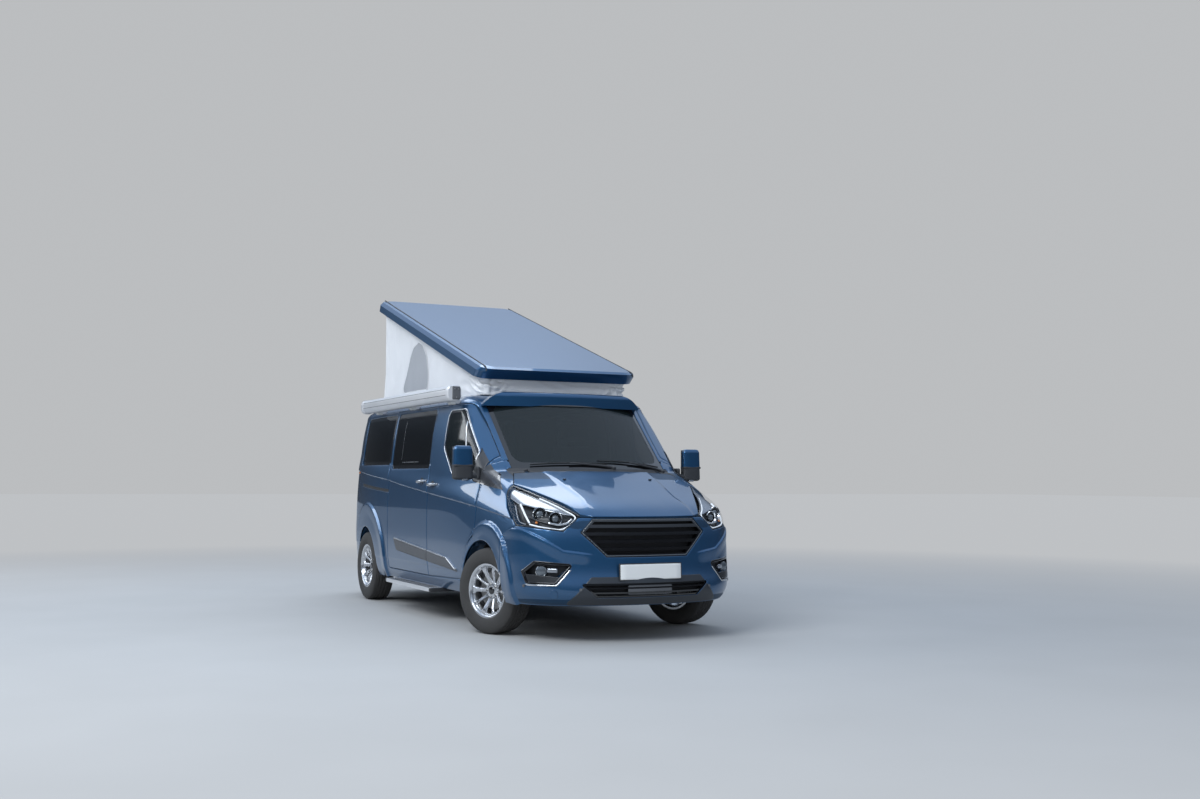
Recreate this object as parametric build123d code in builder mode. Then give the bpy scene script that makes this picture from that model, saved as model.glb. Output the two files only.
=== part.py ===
"""Camper van with a front-hinged pop-up roof, built as separate panels, running gear and cabin pieces.

Frame: millimetres, +X towards the front, +Y to the van's left, +Z up.
Origin: on the ground under the middle of the van's overall box.
"""

from build123d import *
from collections import namedtuple
from math import atan2, cos, radians, sin, sqrt, tan
import os

os.makedirs("parts", exist_ok=True)

# Driving dimensions, in millimetres.
LENGTH = 5340
WHEELBASE = 3300
FRONT_OVERHANG = 1070
GROUND_SILL = 285
FLOOR_TOP = 560
FLOOR_THICK = 50
ROOF_TOP = 1965
ROOF_THICK = 60
WALL = 105
DOOR_THICK = 55
POCKET = 60
PANEL_THICK = POCKET - 0.4
GLASS_OUT = 4
GLASS_IN = 10
DOOR_GAP = 5
SEAM = 0.5
SEAT_GAP = 0.4
FRAME_LAND = 40
SIDE_Y = 752
SCREEN_Y = 705
DOOR_BOTTOM = 375
DOOR_TOP = 1878
BELT = 1235

TYRE_RADIUS = 343
TYRE_WIDTH = 215
WHEEL_Y = 866
KINGPIN_Y = 790
STEER_REST = 20
ARCH_RADIUS = 400

FRONT_X = LENGTH / 2
REAR_X = -LENGTH / 2
FRONT_AXLE_X = FRONT_X - FRONT_OVERHANG
REAR_AXLE_X = FRONT_AXLE_X - WHEELBASE
AXLE_Z = TYRE_RADIUS
FRONT_CHEEK_X = 500
REAR_CHEEK_X = -1220
DOOR_FRONT_X = 1430
DOOR_REAR_X = 278
SLIDE_REAR_X = -915
FIREWALL_X = 1640
FLARE = 70

HINGE_OFF = 10
HINGE_PIN_R = 4
KNUCKLE_R = 9
PIN_PLAY = 0.3

# Plan outlines of the body at rising heights. Columns: height, nose at the centre line, nose radius,
# front corner radius, front cheek radius, half width, tail at the centre line, rear corner radius.
Row = namedtuple("Row", "z nose nose_r corner_r cheek_r half tail tail_corner_r")
BODY_ROWS = [
    Row(GROUND_SILL, 2625, 1700, 560, 60000, 925, -2585, 200),
    Row(345, 2666, 1700, 540, 60000, 950, -2655, 210),
    Row(500, 2655, 1700, 500, 60000, 972, -2660, 210),
    Row(650, 2634, 1700, 460, 40000, 982, -2640, 200),
    Row(800, 2624, 1650, 420, 26000, 985, -2590, 190),
    Row(950, 2590, 1600, 380, 17000, 985, -2562, 180),
    Row(1020, 2480, 1900, 330, 14000, 983, -2560, 180),
    Row(1120, 2225, 2100, 300, 11000, 978, -2560, 180),
    Row(1210, 1985, 2000, 290, 8800, 972, -2560, 180),
    Row(1300, 1742, 1750, 260, 7300, 965, -2558, 180),
    Row(1500, 1530, 1650, 190, 6700, 944, -2550, 180),
    Row(1700, 1317, 1600, 160, 6300, 917, -2538, 175),
    Row(1850, 1156, 1550, 150, 6000, 886, -2520, 170),
    Row(1925, 1062, 1550, 150, 6000, 838, -2480, 170),
    Row(ROOF_TOP, 930, 1550, 150, 6000, 745, -2400, 170),
]
# The heights at which the form has a crease: under the nose, above the bonnet, and round the roof's edge.
CREASES = [GROUND_SILL, 950, 1300, 1850, ROOF_TOP]
REAR_CHEEK_R = 6400
TAIL_R = 5000
LEAST_CORNER = 60


def end_points(nose, nose_r, corner_r, cheek_r, cheek_x, half):
    """Tangent points and arc middles of one end of a plan outline, for the half with y above 0."""
    reach, drop = cheek_r - corner_r, nose_r - corner_r
    low = (cheek_x, half - cheek_r)
    tip = (nose - nose_r, 0)
    span = sqrt((tip[0] - low[0]) ** 2 + (tip[1] - low[1]) ** 2)
    along = (span**2 + reach**2 - drop**2) / (2 * span)
    across = sqrt(reach**2 - along**2)
    ux, uy = (tip[0] - low[0]) / span, (tip[1] - low[1]) / span
    centre = (low[0] + ux * along + uy * across, low[1] + uy * along - ux * across)

    def on(origin, radius, angle):
        return (origin[0] + radius * cos(angle), origin[1] + radius * sin(angle))

    nose_end = atan2(centre[1] - tip[1], centre[0] - tip[0])
    cheek_end = atan2(centre[1] - low[1], centre[0] - low[0])
    return {
        "nose_end": on(tip, nose_r, nose_end),
        "corner_mid": on(centre, corner_r, (nose_end + cheek_end) / 2),
        "cheek_end": on(low, cheek_r, cheek_end),
        "cheek_mid": on(low, cheek_r, (cheek_end + radians(90)) / 2),
        "cheek_start": (cheek_x, half),
    }


def plan_outline(row, depth):
    """Draws a body outline set in by depth from the row's, as 12 tangent arcs and lines."""
    front = end_points(
        row.nose, row.nose_r, row.corner_r, row.cheek_r - depth, FRONT_CHEEK_X, row.half
    )
    rear = end_points(
        -row.tail, TAIL_R, row.tail_corner_r, REAR_CHEEK_R - depth, -REAR_CHEEK_X, row.half
    )
    turned = {name: (-x, y) for name, (x, y) in rear.items()}

    def low(point):
        return (point[0], -point[1])

    ThreePointArc(low(front["nose_end"]), (row.nose, 0), front["nose_end"])
    ThreePointArc(front["nose_end"], front["corner_mid"], front["cheek_end"])
    ThreePointArc(front["cheek_end"], front["cheek_mid"], front["cheek_start"])
    Line(front["cheek_start"], turned["cheek_start"])
    ThreePointArc(turned["cheek_start"], turned["cheek_mid"], turned["cheek_end"])
    ThreePointArc(turned["cheek_end"], turned["corner_mid"], turned["nose_end"])
    ThreePointArc(turned["nose_end"], (row.tail, 0), low(turned["nose_end"]))
    ThreePointArc(low(turned["nose_end"]), low(turned["corner_mid"]), low(turned["cheek_end"]))
    ThreePointArc(low(turned["cheek_end"]), low(turned["cheek_mid"]), low(turned["cheek_start"]))
    Line(low(turned["cheek_start"]), low(front["cheek_start"]))
    ThreePointArc(low(front["cheek_start"]), low(front["cheek_mid"]), low(front["cheek_end"]))
    ThreePointArc(low(front["cheek_end"]), low(front["corner_mid"]), low(front["nose_end"]))


def inset_row(index, depth):
    """A row of the body moved inwards by depth, square to the profile at the nose and the side."""
    before, after = BODY_ROWS[max(index - 1, 0)], BODY_ROWS[min(index + 1, len(BODY_ROWS) - 1)]
    row = BODY_ROWS[index]
    rise = after.z - before.z
    nose_tilt = atan2(before.nose - after.nose, rise)
    side_tilt = atan2(before.half - after.half, rise)
    return row._replace(
        nose=row.nose - depth / cos(nose_tilt),
        half=row.half - depth / cos(side_tilt),
        tail=row.tail + depth,
        nose_r=row.nose_r - depth,
        corner_r=max(row.corner_r - depth, LEAST_CORNER),
        tail_corner_r=max(row.tail_corner_r - depth, LEAST_CORNER),
    )


def hull_solid(depth, top=ROOF_TOP):
    """The whole body's outer form, set in by depth, as smooth lofts stacked between its creases."""
    rows = [inset_row(index, depth) for index in range(len(BODY_ROWS))]
    with BuildPart() as hull:
        for low, high in zip(CREASES, CREASES[1:]):
            for row in rows:
                if low <= row.z <= high:
                    with BuildSketch(Plane.XY.offset(row.z)):
                        with BuildLine():
                            plan_outline(row, depth)
                        make_face()
            loft()
        if top < ROOF_TOP:
            split(bisect_by=Plane.XY.offset(top), keep=Keep.BOTTOM)
    return hull.part
REACH = 1200


def right_plane(y):
    """A plane square to the van's width at the given y, looking out to the right."""
    return Plane.XZ.offset(-y)


def front_plane(x):
    """A plane square to the van's length at the given x, looking forwards."""
    return Plane.YZ.offset(x)


def swept(sketch, plane, amount):
    """A flat outline carried straight off its plane."""
    with BuildPart() as prism:
        with BuildSketch(plane):
            add(sketch)
        extrude(amount=amount)
    return prism.part


def side_prism(sketch, y_inner=-1):
    """A side-view outline carried outwards on the right."""
    return swept(sketch, right_plane(y_inner), REACH + y_inner)


def front_prism(sketch, x_low=2150, x_high=2750):
    return swept(sketch, front_plane(x_low), x_high - x_low)


def cut_down(base, *cuts):
    """The base solid less each of the cuts."""
    with BuildPart() as result:
        add(base)
        for cut in cuts:
            add(cut, mode=Mode.SUBTRACT)
    return result.part


def common(base, *others):
    """What the base and all the others share."""
    with BuildPart() as result:
        add(base)
        for other in others:
            add(other, mode=Mode.INTERSECT)
    return result.part


def joined(*parts):
    with BuildPart() as result:
        for part in parts:
            add(part)
    return result.part


def mirrored(part):
    """The same piece on the other side of the van."""
    with BuildPart() as other:
        add(part)
        mirror(about=Plane.XZ, mode=Mode.REPLACE)
    return other.part


def both_sides(part):
    return joined(part, mirrored(part))


def block(x_low, x_high, y_low, y_high, z_low, z_high):
    """A plain box between two corners."""
    with BuildPart() as box:
        with BuildSketch(Plane.XY.offset(z_low)):
            with Locations(((x_low + x_high) / 2, (y_low + y_high) / 2)):
                Rectangle(x_high - x_low, y_high - y_low)
        extrude(amount=z_high - z_low)
    return box.part


def cylinder(plane, radius, length, hole=0):
    """A round bar on a plane's origin, or a tube where it has a hole."""
    with BuildPart() as bar:
        with BuildSketch(plane):
            Circle(radius)
            if hole:
                Circle(hole, mode=Mode.SUBTRACT)
        extrude(amount=length)
    return bar.part


def cross_bar(x, z, radius, y_low, y_high, hole=0):
    """A round bar across the van between two y values."""
    return cylinder(right_plane(y_high) * Location((x, z, 0)), radius, y_high - y_low, hole)


def polygon(*points, grow=0, radius=0):
    """A closed outline through a few corners, rounded by the radius and grown by an offset."""
    with BuildSketch() as outline:
        with BuildLine():
            if radius:
                FilletPolyline(*points, radius=radius, close=True)
            else:
                Polyline(*points, close=True)
        make_face()
        if grow:
            offset(amount=grow, kind=Kind.INTERSECTION)
    return outline.sketch


def rectangle(low_x, high_x, low_y, high_y, radius=0):
    return polygon((low_x, low_y), (high_x, low_y), (high_x, high_y), (low_x, high_y), radius=radius)


def save(part, name):
    part.label = name
    export_step(part, f"parts/{name}.step")


OUTER = hull_solid(0)
DOOR_INNER = hull_solid(DOOR_THICK)
PANEL_INNER = hull_solid(PANEL_THICK)
POCKET_INNER = hull_solid(POCKET)
CABIN = hull_solid(WALL, ROOF_TOP - ROOF_THICK)
FLOOR_FORM = hull_solid(WALL + SEAT_GAP)
WALL_SHELL = cut_down(OUTER, CABIN)
DOOR_SHELL = cut_down(OUTER, DOOR_INNER)
PANEL_SHELL = cut_down(OUTER, PANEL_INNER)
GLASS_SHELL = cut_down(hull_solid(GLASS_OUT), hull_solid(GLASS_IN))

# Side-view outlines, as x and z. A positive grow makes the outline larger all round.
SEAM_REACH = ARCH_RADIUS + FLARE
ARCH_JOIN_Z = AXLE_Z + sqrt(SEAM_REACH**2 - (FRONT_AXLE_X - DOOR_FRONT_X) ** 2)
ARCH_FOOT_X = FRONT_AXLE_X - sqrt(SEAM_REACH**2 - (DOOR_BOTTOM - AXLE_Z) ** 2)
PILLAR_LOW = (DOOR_FRONT_X, 1440)
PILLAR_HIGH = (915, DOOR_TOP)
ARC_MIDDLE = radians(143)


def front_door_outline(grow=0):
    with BuildSketch() as outline:
        with BuildLine():
            Line((DOOR_REAR_X, DOOR_BOTTOM), (ARCH_FOOT_X, DOOR_BOTTOM))
            ThreePointArc(
                (ARCH_FOOT_X, DOOR_BOTTOM),
                (FRONT_AXLE_X + SEAM_REACH * cos(ARC_MIDDLE), AXLE_Z + SEAM_REACH * sin(ARC_MIDDLE)),
                (DOOR_FRONT_X, ARCH_JOIN_Z),
            )
            Polyline(
                (DOOR_FRONT_X, ARCH_JOIN_Z),
                PILLAR_LOW,
                PILLAR_HIGH,
                (DOOR_REAR_X, DOOR_TOP),
                (DOOR_REAR_X, DOOR_BOTTOM),
            )
        make_face()
        if grow:
            offset(amount=grow, kind=Kind.INTERSECTION)
    return outline.sketch


def slide_door_outline(grow=0):
    front = DOOR_REAR_X - DOOR_GAP
    return rectangle(SLIDE_REAR_X - grow, front + grow, DOOR_BOTTOM - grow, DOOR_TOP + grow)


def front_window(grow=0):
    return polygon(
        (602 - grow, 1826 + grow),
        (905, 1826 + grow),
        (1300 + grow, 1452),
        (1262, BELT + 8 - grow),
        (900, BELT - grow),
        (602 - grow, 1500),
        radius=60,
    )


def middle_window(grow=0):
    return rectangle(-870 - grow, 250 + grow, 1325 - grow, 1852 + grow, radius=45)


def rear_window(grow=0):
    return rectangle(-2120 - grow, -945 + grow, 1365 - grow, 1852 + grow, radius=45)


WING_FOOT = 1080
WING_SEAM_X = DOOR_FRONT_X + DOOR_GAP
BUMPER_X = 1985
BUMPER_TOP = 800
LAMP_TAIL = (2179, 877)
LAMP_MID = (1998, 1010)
LAMP_HIGH = (1852, 1189)


def wing_outline(grow=0):
    """The wing's side view: up from the sill behind the wheel, forward to the headlamp and the bumper."""
    return polygon(
        (WING_FOOT, DOOR_BOTTOM + 3),
        (BUMPER_X, DOOR_BOTTOM + 3),
        (BUMPER_X, BUMPER_TOP),
        LAMP_TAIL,
        LAMP_MID,
        LAMP_HIGH,
        (1700, 1330),
        (1560, 1455),
        (WING_SEAM_X, 1340),
        (WING_SEAM_X, 760),
        (WING_FOOT, 760),
        grow=grow,
    )


SIDE_FRONT_X = 1480


def side_outline():
    """The body side's own side view: the whole wall back from the wing, with the windscreen pillar."""
    return polygon(
        (REAR_X - 50, GROUND_SILL - 50),
        (SIDE_FRONT_X, GROUND_SILL - 50),
        (SIDE_FRONT_X, 1384),
        (1562, 1457),
        (1562, ROOF_TOP + 50),
        (REAR_X - 50, ROOF_TOP + 50),
    )


REAR_BUMPER_TOP = 560
REAR_BUMPER_X = -2130


def rear_bumper_zone(grow=0):
    return rectangle(REAR_X - 50, REAR_BUMPER_X + grow, GROUND_SILL - 60, REAR_BUMPER_TOP + grow)


TAIL_LAMP_X = -2462
TAIL_LAMP_Y = -SIDE_Y - 8
TAIL_LAMP_LOW = 900
TAIL_LAMP_HIGH = 1330


def tail_lamp_block(grow=0):
    """The right tail lamp's zone round the rear corner."""
    low, high = TAIL_LAMP_LOW - grow, TAIL_LAMP_HIGH + grow
    return block(REAR_X - 50, TAIL_LAMP_X + grow, -REACH, TAIL_LAMP_Y + grow, low, high)


FRONT_ARCH = cross_bar(FRONT_AXLE_X, AXLE_Z, ARCH_RADIUS, -REACH, -500)
REAR_ARCH = cross_bar(REAR_AXLE_X, AXLE_Z, ARCH_RADIUS, -REACH, -500)

# Front door hinges: a pin hangs from a lug on the pillar, in a ring on the door.
HINGE_X = DOOR_FRONT_X - HINGE_OFF
HINGE_Y = -950
HINGE_HEIGHTS = (800, 868)
RING_HEIGHT = 30
LUG_THICK = 8
NOTCH = 14


def hinge_pieces():
    """The right door's rings, the pillar's lugs with their pins, and the notches that clear them."""
    rings, lugs, notches = [], [], []
    for z in HINGE_HEIGHTS:
        base = Plane((HINGE_X, HINGE_Y, z))
        ring = cylinder(base, KNUCKLE_R, RING_HEIGHT, hole=HINGE_PIN_R + PIN_PLAY)
        web = block(
            HINGE_X - NOTCH - 6, HINGE_X - HINGE_PIN_R - 2, HINGE_Y, HINGE_Y + 8, z, z + RING_HEIGHT
        )
        rings.append(joined(ring, web))
        lug_z = z + RING_HEIGHT + 2
        pin = cylinder(base, HINGE_PIN_R, RING_HEIGHT + 2)
        plate = block(
            HINGE_X - KNUCKLE_R, HINGE_X + KNUCKLE_R, HINGE_Y, HINGE_Y + 75, lug_z, lug_z + LUG_THICK
        )
        plate_end = cylinder(Plane((HINGE_X, HINGE_Y, lug_z)), KNUCKLE_R, LUG_THICK)
        lugs.append(joined(pin, plate, plate_end))
        notches.append(
            block(HINGE_X - NOTCH, HINGE_X + 40, HINGE_Y - 10, HINGE_Y + 90, z - 5, lug_z + LUG_THICK + 5)
        )
    return rings, lugs, notches


DOOR_RINGS, DOOR_LUGS, DOOR_NOTCHES = hinge_pieces()
EDGE_STRIP = cut_down(
    block(HINGE_X, DOOR_FRONT_X + 5, -REACH, HINGE_Y, GROUND_SILL, 1520),
    cylinder(Plane((HINGE_X, HINGE_Y, GROUND_SILL - 5)), HINGE_OFF, 1400),
)
RELIEF_LOW = DOOR_BOTTOM + 3
RELIEF_TALL = 640
RELIEF = cylinder(Plane((HINGE_X, HINGE_Y, RELIEF_LOW)), HINGE_OFF + 14, RELIEF_TALL)
EDGE_RELIEF = block(
    HINGE_X, DOOR_FRONT_X + DOOR_GAP, -REACH, HINGE_Y - HINGE_OFF, RELIEF_LOW, RELIEF_LOW + RELIEF_TALL
)


# The windscreen pillar's inner edge, and the door's thinner corner behind the mirror.
GLASS_LOW = 1322
GLASS_HIGH = 1885
PILLAR_BLOCK = block(945, 1600, -SIDE_Y - 1, -SCREEN_Y, GLASS_LOW, GLASS_HIGH)
CORNER_THICK = 25
CORNER_BLOCK = block(1340, 1450, -REACH, 0, BELT, 1500)
DOOR_CORNER = common(hull_solid(CORNER_THICK), CORNER_BLOCK)


# Jacking pads stand a little below the sills
JACK_XS = (-1100, 900)
JACK_Y = 870
JACK_LONG = 70
JACK_WIDE = 50
JACK_DROP = 6
jack_pads = [
    block(
        x - JACK_LONG / 2,
        x + JACK_LONG / 2,
        -JACK_Y - JACK_WIDE / 2,
        -JACK_Y + JACK_WIDE / 2,
        GROUND_SILL - JACK_DROP,
        GROUND_SILL + 1,
    )
    for x in JACK_XS
]


def body_side(has_slide_door):
    """The right-hand wall with its sill, pillars and roof rail, as it is on either hand."""
    base = common(WALL_SHELL, joined(side_prism(side_outline(), -SIDE_Y), PILLAR_BLOCK))
    front_pocket = cut_down(side_prism(front_door_outline(DOOR_GAP)), POCKET_INNER)
    wing_pocket = cut_down(side_prism(wing_outline(SEAM)), POCKET_INNER)
    bumper_pocket = cut_down(side_prism(rear_bumper_zone(SEAM)), POCKET_INNER)
    cuts = [
        front_pocket,
        side_prism(front_door_outline(-FRAME_LAND)),
        wing_pocket,
        side_prism(rear_window()),
        bumper_pocket,
        cut_down(tail_lamp_block(SEAM), POCKET_INNER),
        RELIEF,
        EDGE_RELIEF,
        FRONT_ARCH,
        REAR_ARCH,
    ]
    if has_slide_door:
        cuts.append(cut_down(side_prism(slide_door_outline(DOOR_GAP)), POCKET_INNER))
        cuts.append(side_prism(slide_door_outline(-FRAME_LAND)))
    else:
        cuts.append(side_prism(middle_window()))
    return joined(cut_down(base, *cuts), *DOOR_LUGS, *jack_pads)


save(body_side(True), "right_body_side")
save(mirrored(body_side(False)), "left_body_side")

# Doors
front_door = joined(
    cut_down(
        common(DOOR_SHELL, side_prism(front_door_outline(), -SIDE_Y)),
        side_prism(front_window()),
        *DOOR_NOTCHES,
        EDGE_STRIP,
        DOOR_CORNER,
    ),
    *DOOR_RINGS,
)
save(front_door, "right_front_door")
save(mirrored(front_door), "left_front_door")
front_pane = common(GLASS_SHELL, side_prism(front_window(-SEAM), -SIDE_Y))
save(front_pane, "right_door_window")
save(mirrored(front_pane), "left_door_window")
slide_door = cut_down(
    common(PANEL_SHELL, side_prism(slide_door_outline(), -SIDE_Y)), side_prism(middle_window())
)
save(slide_door, "sliding_door")
middle_pane = common(GLASS_SHELL, side_prism(middle_window(-SEAM), -SIDE_Y))
rear_pane = common(GLASS_SHELL, side_prism(rear_window(-SEAM), -SIDE_Y))
save(joined(both_sides(rear_pane), both_sides(middle_pane)), "side_windows")
save(both_sides(common(PANEL_SHELL, tail_lamp_block())), "tail_lamps")

# Front end
BONNET_BASE = 948
BONNET_REAR = [(1660, -722), (1728, -330), (1752, 0), (1728, 330), (1660, 722)]


def lamp_block(grow=0):
    """The headlamp's form on the right: its front view crossed with its side view."""
    front = polygon(
        (-517, 962), (-655, 840), (-913, 877), (-1050, 877), (-1050, 1250), (-812, 1191), grow=grow
    )
    side = polygon(LAMP_TAIL, (2700, 800), (2700, 1250), LAMP_HIGH, LAMP_MID, grow=grow)
    return common(front_prism(front, 1700, 2750), side_prism(side, -400))


def bonnet_block(grow=0):
    """The bonnet in plan, as x and y, standing on its base height."""
    plan = polygon(
        (2700, 436), (2700, -436), (2531, -436), (2485, -517), (1852, -800), *BONNET_REAR,
        (1852, 800), (2485, 517), (2531, 436), grow=grow,
    )
    return swept(plan, Plane.XY.offset(BONNET_BASE - grow), 460)


LAMP_GAP = 10
LAMP_CUT = lamp_block(SEAM)
BONNET_CUT = bonnet_block(DOOR_GAP)
wing = cut_down(
    common(PANEL_SHELL, side_prism(wing_outline(), -430)),
    LAMP_CUT,
    BONNET_CUT,
    FRONT_ARCH,
    side_prism(front_door_outline(DOOR_GAP)),
    RELIEF,
    block(1400, 1760, -SIDE_Y, 0, 900, 1500),
)
save(both_sides(wing), "front_wings")
LAMP_SHELL = cut_down(hull_solid(GLASS_OUT), PANEL_INNER)
headlamp = cut_down(common(LAMP_SHELL, lamp_block()), bonnet_block(LAMP_GAP))

GRILLE_TIP = (535, 832)
GRILLE_TOP = (436, 938)
GRILLE_LOW = (345, 648)
SLAT_COUNT = 5
SLAT_THICK = 24
GRILLE_RIM = 24


def grille_outline(grow=0):
    points = []
    for side in (1, -1):
        corners = [GRILLE_LOW, GRILLE_TIP, GRILLE_TOP]
        points += [(side * y, z) for y, z in corners[::side]]
    return polygon(*points, grow=grow)


def fog_outline(grow=0):
    return polygon(
        (-592, 584), (-640, 650), (-905, 650), (-940, 590), (-912, 520), (-690, 500), grow=grow
    )


def intake_outline(grow=0):
    return polygon((-560, 452), (560, 452), (430, 345), (-430, 345), grow=grow)


nose_side = polygon(
    (BUMPER_X + SEAM, GROUND_SILL - 20),
    (2750, GROUND_SILL - 20),
    (2750, BONNET_BASE - DOOR_GAP),
    (2300, BONNET_BASE - DOOR_GAP),
    (LAMP_TAIL[0], LAMP_TAIL[1] - SEAM),
    (BUMPER_X + SEAM, BUMPER_TOP - 2 * SEAM),
)
fog_cut = front_prism(fog_outline(SEAM))
bumper = cut_down(
    common(PANEL_SHELL, swept(nose_side, right_plane(REACH), 2 * REACH)),
    LAMP_CUT,
    mirrored(LAMP_CUT),
    front_prism(grille_outline(SEAM)),
    front_prism(intake_outline(SEAM)),
    fog_cut,
    mirrored(fog_cut),
    FRONT_ARCH,
    mirrored(FRONT_ARCH),
)
save(bumper, "front_bumper")
fog_lamp = common(LAMP_SHELL, front_prism(fog_outline()))
save(joined(both_sides(headlamp), both_sides(fog_lamp)), "front_lamps")


def common_sketch(first, second):
    with BuildSketch() as shared:
        add(first)
        add(second, mode=Mode.INTERSECT)
    return shared.sketch


def slatted(outline, inner, count, low, high, thick):
    """An outline's rim with level slats across it."""
    pitch = (high - low) / count
    levels = [low + index * pitch for index in range(1, count)]
    bars = [common_sketch(outline, rectangle(-600, 600, z - thick / 2, z + thick / 2)) for z in levels]
    with BuildSketch() as face:
        add(outline)
        add(inner, mode=Mode.SUBTRACT)
        for bar in bars:
            add(bar)
    return face.sketch


grille_face = slatted(
    grille_outline(), grille_outline(-GRILLE_RIM), SLAT_COUNT, GRILLE_LOW[1], GRILLE_TOP[1], SLAT_THICK
)
intake_face = slatted(intake_outline(), intake_outline(-14), 3, 345, 452, 12)
grille = joined(
    common(LAMP_SHELL, front_prism(grille_face)),
    common(LAMP_SHELL, front_prism(intake_face)),
)
save(grille, "grille")

# The bonnet is a skin with a deeper frame inside its edges, so that its front swings up clear of the lamps.
BONNET_SKIN = 16
FRAME_INSET = 35
bonnet = joined(
    cut_down(common(OUTER, bonnet_block()), hull_solid(BONNET_SKIN)),
    common(DOOR_SHELL, bonnet_block(-FRAME_INSET)),
)

# Windscreen, scuttle and roof
HATCH = (-2100, 560, 590)
screen_view = rectangle(-SCREEN_Y + SEAM, SCREEN_Y - SEAM, GLASS_LOW, GLASS_HIGH)
save(common(GLASS_SHELL, front_prism(screen_view, 700, 1800)), "windscreen")
scuttle_view = rectangle(-SIDE_Y + SEAM, SIDE_Y - SEAM, 1180, GLASS_LOW - SEAM)
scuttle = cut_down(
    common(PANEL_SHELL, front_prism(scuttle_view, 1560, 1800)), bonnet_block(DOOR_GAP + 3)
)
roof_view = rectangle(-SIDE_Y + SEAM, SIDE_Y - SEAM, GLASS_HIGH + SEAM, ROOF_TOP + 60)
roof = cut_down(
    common(WALL_SHELL, swept(roof_view, front_plane(REAR_X - 20), LENGTH)),
    block(HATCH[0], HATCH[1], -HATCH[2], HATCH[2], 1700, ROOF_TOP + 60),
)

# Tail
TAIL_X = -2300
TAIL_Y = SIDE_Y - DOOR_GAP
TAIL_LOW = REAR_BUMPER_TOP + DOOR_GAP
tail_view = rectangle(-TAIL_Y, TAIL_Y, TAIL_LOW, GLASS_HIGH - DOOR_GAP)


def tail_window(grow=0):
    return rectangle(-640 - grow, 640 + grow, 1345 - grow, 1800 + grow, radius=50)


tailgate_plain = cut_down(
    common(DOOR_SHELL, swept(tail_view, front_plane(REAR_X - 20), TAIL_X - REAR_X + 20)),
    swept(tail_window(), front_plane(REAR_X - 20), TAIL_X - REAR_X + 20),
)
tail_pane = common(
    GLASS_SHELL, swept(tail_window(-SEAM), front_plane(REAR_X - 20), TAIL_X - REAR_X + 20)
)
save(tail_pane, "tailgate_window")
rear_zone = swept(rear_bumper_zone(), right_plane(REACH), 2 * REACH)
save(cut_down(common(PANEL_SHELL, rear_zone), REAR_ARCH, mirrored(REAR_ARCH)), "rear_bumper")

# Floor, wheelhouses, rails and bulkhead
RAIL_Y = 480
RAIL_WIDTH = 80
RAIL_LOW = 420
FLOOR_LOW = FLOOR_TOP - FLOOR_THICK
WELL_Y = 548
HOUSE_WALL = 12
REAR_HOUSE_Y = 690
FRONT_HOUSE_Y = 550
WELL_X = 1290
BULKHEAD_TOP = 1180
CROSS_XS = (-2430, -940, 60, 700, 1130)
CROSS_HALF = 740
BEAM_X = (2430, 2480)
BEAM_HALF = 530


def wheelhouse(axle_x, y_inner, grow=0):
    """A half drum over a wheel, closed on its inner side, on the right, or the room it takes."""
    wall = HOUSE_WALL + grow
    drum = cross_bar(axle_x, AXLE_Z, ARCH_RADIUS + wall, -REACH, -y_inner + wall)
    return common(drum, block(axle_x - 500, axle_x + 500, -REACH, 0, FLOOR_LOW - grow, ROOF_TOP))


def house_hollow(axle_x, y_inner):
    return cross_bar(axle_x, AXLE_Z, ARCH_RADIUS, -REACH, -y_inner)


floor_plan = polygon(
    (-2700, -REACH), (WELL_X, -REACH), (WELL_X, -WELL_Y), (FIREWALL_X, -WELL_Y),
    (FIREWALL_X, WELL_Y), (WELL_X, WELL_Y), (WELL_X, REACH), (-2700, REACH),
)
rails = [
    block(-2440, BEAM_X[1], y - RAIL_WIDTH / 2, y + RAIL_WIDTH / 2, RAIL_LOW, FLOOR_LOW)
    for y in (-RAIL_Y, RAIL_Y)
]
crosses = [block(x - 30, x + 30, -CROSS_HALF, CROSS_HALF, RAIL_LOW + 20, FLOOR_LOW) for x in CROSS_XS]
HOUSES = ((REAR_AXLE_X, REAR_HOUSE_Y), (FRONT_AXLE_X, FRONT_HOUSE_Y))
house_room = both_sides(joined(*[wheelhouse(x, y, SEAT_GAP) for x, y in HOUSES]))
hollows = both_sides(joined(*[house_hollow(x, y) for x, y in HOUSES]))
houses = cut_down(common(both_sides(joined(*[wheelhouse(x, y) for x, y in HOUSES])), FLOOR_FORM), hollows)
save(houses, "wheelhouses")
slab = common(swept(floor_plan, Plane.XY.offset(FLOOR_LOW), FLOOR_THICK), FLOOR_FORM)
beam_bar = block(*BEAM_X, -BEAM_HALF, BEAM_HALF, RAIL_LOW, FLOOR_LOW)
save(cut_down(joined(slab, *rails, *crosses, beam_bar), house_room, hollows), "floor_pan")
bulkhead_sheet = block(FIREWALL_X - 20, FIREWALL_X, -REACH, REACH, FLOOR_TOP + SEAT_GAP, BULKHEAD_TOP)
save(cut_down(common(bulkhead_sheet, FLOOR_FORM), house_room), "bulkhead")

# Running gear
STEER_PIN_R = 10
ARM_LOW = 214
ARM_HIGH = 452
ARM_THICK = 22
STUB_R = 20
RIM_HALF = 92
KNUCKLE_Y = KINGPIN_Y
with BuildPart() as engine:
    with BuildSketch(Plane.XY.offset(RAIL_LOW - 60)):
        with Locations((2020, -20)):
            RectangleRounded(560, 640, 30)
    extrude(amount=560)
save(engine.part, "engine_block")

beam = block(1545, 1655, -440, 440, 250, 330)
posts = both_sides(block(1565, 1635, -515, -435, 250, RAIL_LOW - SEAT_GAP))
engine_seat = block(1655, 1760, -300, 300, 300, RAIL_LOW - 60 - SEAT_GAP)


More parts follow.
